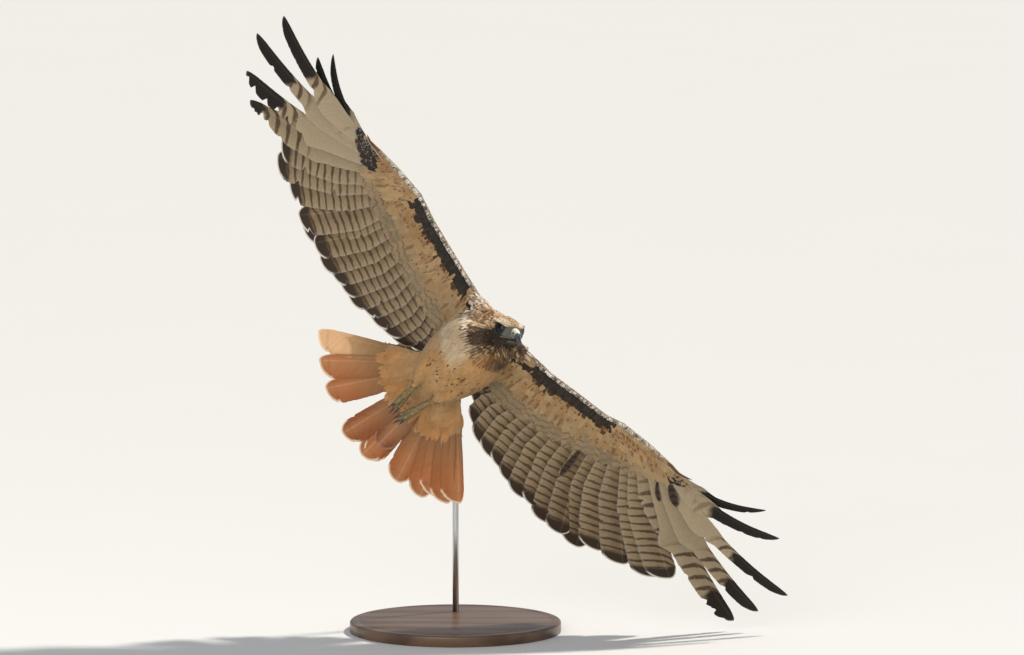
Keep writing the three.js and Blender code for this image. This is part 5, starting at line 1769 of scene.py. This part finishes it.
def footPieces():
    look = Finish("footSkin", Coat_Weight=0.15, Coat_Roughness=0.4)
    plates = look.cells(look.place(), 520.0)
    grain = look.noise(look.place(), 260.0, 3)
    tint = look.mix(grain.step(0.3, 0.7), (0.15, 0.105, 0.036), (0.30, 0.215, 0.08))
    look.feed("Base Color", look.shade(tint, 0.6 + 0.5 * (1 - plates)))
    look.feed("Roughness", 0.5 + 0.2 * grain)
    look.bump(1 - plates, 0.4, 0.0004)
    clawLook = hornFinish("clawHorn", (0.07, 0.06, 0.05), (0.012, 0.011, 0.011), 0.1, 0.6, 0.25)
    for label, leg in legs.items():
        hock, ball = np.array(leg["hock"], float), np.array(leg["toes"], float)
        t = np.linspace(0, 1, 60)[:, None]
        line = hock + [18, 0, 0] + (ball - [3, 0, 0] - hock - [18, 0, 0]) * t
        radii = along([(0, 2.5), (0.2, shankRadius), (0.6, shankRadius), (1, shankRadius + 1.6)], t[:, 0])
        mesh = tubeMesh(f"shank_{label}", scutedRings(line, radii, 20, 3.4, 9))
        addPiece(f"shank_{label}", mesh, look, (f"foot_{label}",))
        for name in toeNames:
            t = np.linspace(-0.04, 1, 60)
            line = toeLine(leg, name, t)
            radii = toeRadius * along(toeTaper, t)
            mesh = tubeMesh(f"toe_{label}_{name}", scutedRings(line, radii, 18, 2.9, 10.5))
            addPiece(f"toe_{label}_{name}", mesh, look)
            start, inner = toeLine(leg, name, np.array(1.0)), toeLine(leg, name, np.array(0.7))
            ahead = unit(start - inner)
            length = clawLength[name]
            down = np.array([0, 0, 1.0 if name == "hind" else -1.0])
            t = np.linspace(-0.14, 1, 30)[:, None]
            line = start + ahead * length * t * (1 - 0.18 * t) + down * clawHook * length * t * t
            radii = clawRadius * along(clawTaper, t[:, 0])
            mesh = tubeMesh(f"talon_{label}_{name}", pathRings(line, radii * 0.9, radii, 16))
            addPiece(f"talon_{label}_{name}", mesh, clawLook, (f"claw_{label}_{name}",))


footPieces()
print("feet")


# Stand

stand = {
    "radius": 170,
    "height": 18,
    "bevel": 4,
    "rod": 5,
    "rodBack": 92,
    "rodBend": 40,
    "rodHeight": 470,
    "rodEnd": -52,
}


def latheMesh(name, profile, sides):  # profile rows (radius, height), turned about the origin's axis
    angle = 2 * pi * np.arange(sides) / sides
    radius, height = np.transpose(profile)
    level = np.broadcast_to(height[:, None], (len(radius), sides))
    rings = np.stack([radius[:, None] * np.cos(angle), radius[:, None] * np.sin(angle), level], -1)
    return tubeMesh(name, rings * 0.001, np.asarray)


def standPieces():
    wood = Finish("baseWood", Coat_Weight=0.3, Coat_Roughness=0.25)
    x, y, z = wood.split(wood.place())
    wobble = wood.noise(wood.join(x * 2, y * 12, z * 12), 2.0, 3)
    rings = ((y * 110 + wobble * 9).wave() * 0.5 + 0.5) ** 1.5
    pores = wood.noise(wood.join(x * 14, y * 520, z * 520), 1.0, 3)
    tint = wood.mix(rings, (0.16, 0.085, 0.042), (0.085, 0.042, 0.02))
    wood.feed("Base Color", wood.shade(tint, 0.75 + 0.4 * pores))
    wood.feed("Roughness", 0.36 + 0.15 * pores)
    wood.bump(pores, 0.12, 0.0003)
    r, h, b = stand["radius"], stand["height"], stand["bevel"]
    turn = np.linspace(0, pi / 2, 8)
    profile = [(0.5, 0), (r * 0.5, 0), (r - 1, 0), (r, 1), (r, h - b)]
    profile += [(r - b + b * cos(a), h - b + b * sin(a)) for a in turn[1:]]
    profile += [(r - 14, h), (r - 15, h - 0.5), (r - 16.5, h - 0.5), (r - 17.5, h), (r * 0.5, h), (0.5, h)]
    addPiece("base", latheMesh("base", profile, 160), wood, ("stand_base",))
    steel = Finish("rodSteel", Metallic=1.0)
    x, y, z = steel.split(steel.place())
    brushed = steel.noise(steel.join(x * 900, y * 900, z * 60), 1.0, 2)
    steel.feed("Base Color", steel.mix(brushed, (0.42, 0.42, 0.41), (0.6, 0.6, 0.58)))
    steel.feed("Roughness", 0.25 + 0.15 * brushed)
    bend = np.linspace(0, pi / 2, 20)
    back, corner, top = stand["rodBack"], stand["rodBend"], stand["rodHeight"]
    line = [(0, back, h + 0.3), (0, back, top / 3), (0, back, top * 0.6), (0, back, top - corner - 4)]
    line += [(0, back - corner * (1 - cos(a)), top - corner + corner * sin(a)) for a in bend]
    line += [(0, back - corner - 4, top), (0, 0, top), (0, stand["rodEnd"], top)]
    rings = pathRings(np.array(line, float), stand["rod"], stand["rod"], 28, (1, 0, 0))
    addPiece("rod", tubeMesh("rod", rings * 0.001, np.asarray), steel, ("stand_rod",))


standPieces()
print("stand")


# Studio


def addStudio():
    scene = bpy.context.scene
    world = bpy.data.worlds.new("studio")
    world.use_nodes = True
    background = world.node_tree.nodes["Background"]
    background.inputs["Color"].default_value = (*studio["sky"], 1)
    background.inputs["Strength"].default_value = studio["skyStrength"]
    scene.world = world
    sun = bpy.data.lights.new("sun", "SUN")
    sun.energy, sun.angle = studio["sunPower"], radians(studio["sunAngle"])
    sun.color = studio["sunColour"]
    lamp = bpy.data.objects.new("sun", sun)
    lamp.rotation_euler = Vector(studio["sunFrom"]).to_track_quat("Z", "Y").to_euler()
    scene.collection.objects.link(lamp)
    fill = bpy.data.lights.new("fill", "AREA")
    fill.energy, fill.size = studio["fillPower"], studio["fillSize"]
    lamp = bpy.data.objects.new("fill", fill)
    lamp.location = studio["fillPlace"]
    aim = Vector(studio["fillPlace"]) - Vector(studio["target"]) * 0.001
    lamp.rotation_euler = aim.to_track_quat("Z", "Y").to_euler()
    scene.collection.objects.link(lamp)
    count = 96
    corner = np.arange(count)
    angle = 2 * pi * corner / count
    rim = np.stack([np.cos(angle), np.sin(angle), 0 * angle], -1) * studio["floorRadius"]
    fan = np.stack([np.full(count, count), corner, (corner + 1) % count], -1)
    mesh, _ = makeMesh("floor", np.vstack([rim, [[0, 0, 0]]]), [fan])
    paper = Finish("paper", Roughness=0.85, Specular_IOR_Level=0.2)
    grain = paper.noise(paper.place(), 3.0, 2)
    shade = tuple(0.985 * c for c in studio["floor"])
    paper.feed("Base Color", paper.mix(grain, shade, studio["floor"]))
    floor = bpy.data.objects.new("floor", mesh)
    mesh.materials.append(paper.material)
    scene.collection.objects.link(floor)
    camera = bpy.data.cameras.new("camera")
    camera.sensor_width = studio["sensor"]
    camera.lens = studio["sensor"] * studio["distance"] / studio["viewWidth"]
    camera.clip_start, camera.clip_end = 0.1, 200
    holder = bpy.data.objects.new("camera", camera)
    rise = radians(studio["elevation"])
    back = Vector((0, -cos(rise), sin(rise))) * studio["distance"]
    holder.location = (Vector(studio["target"]) + back) * 0.001
    holder.rotation_euler = (pi / 2 - rise, 0, 0)
    scene.collection.objects.link(holder)
    scene.camera = holder
    scene.view_settings.view_transform = "Standard"


addStudio()
print("studio")
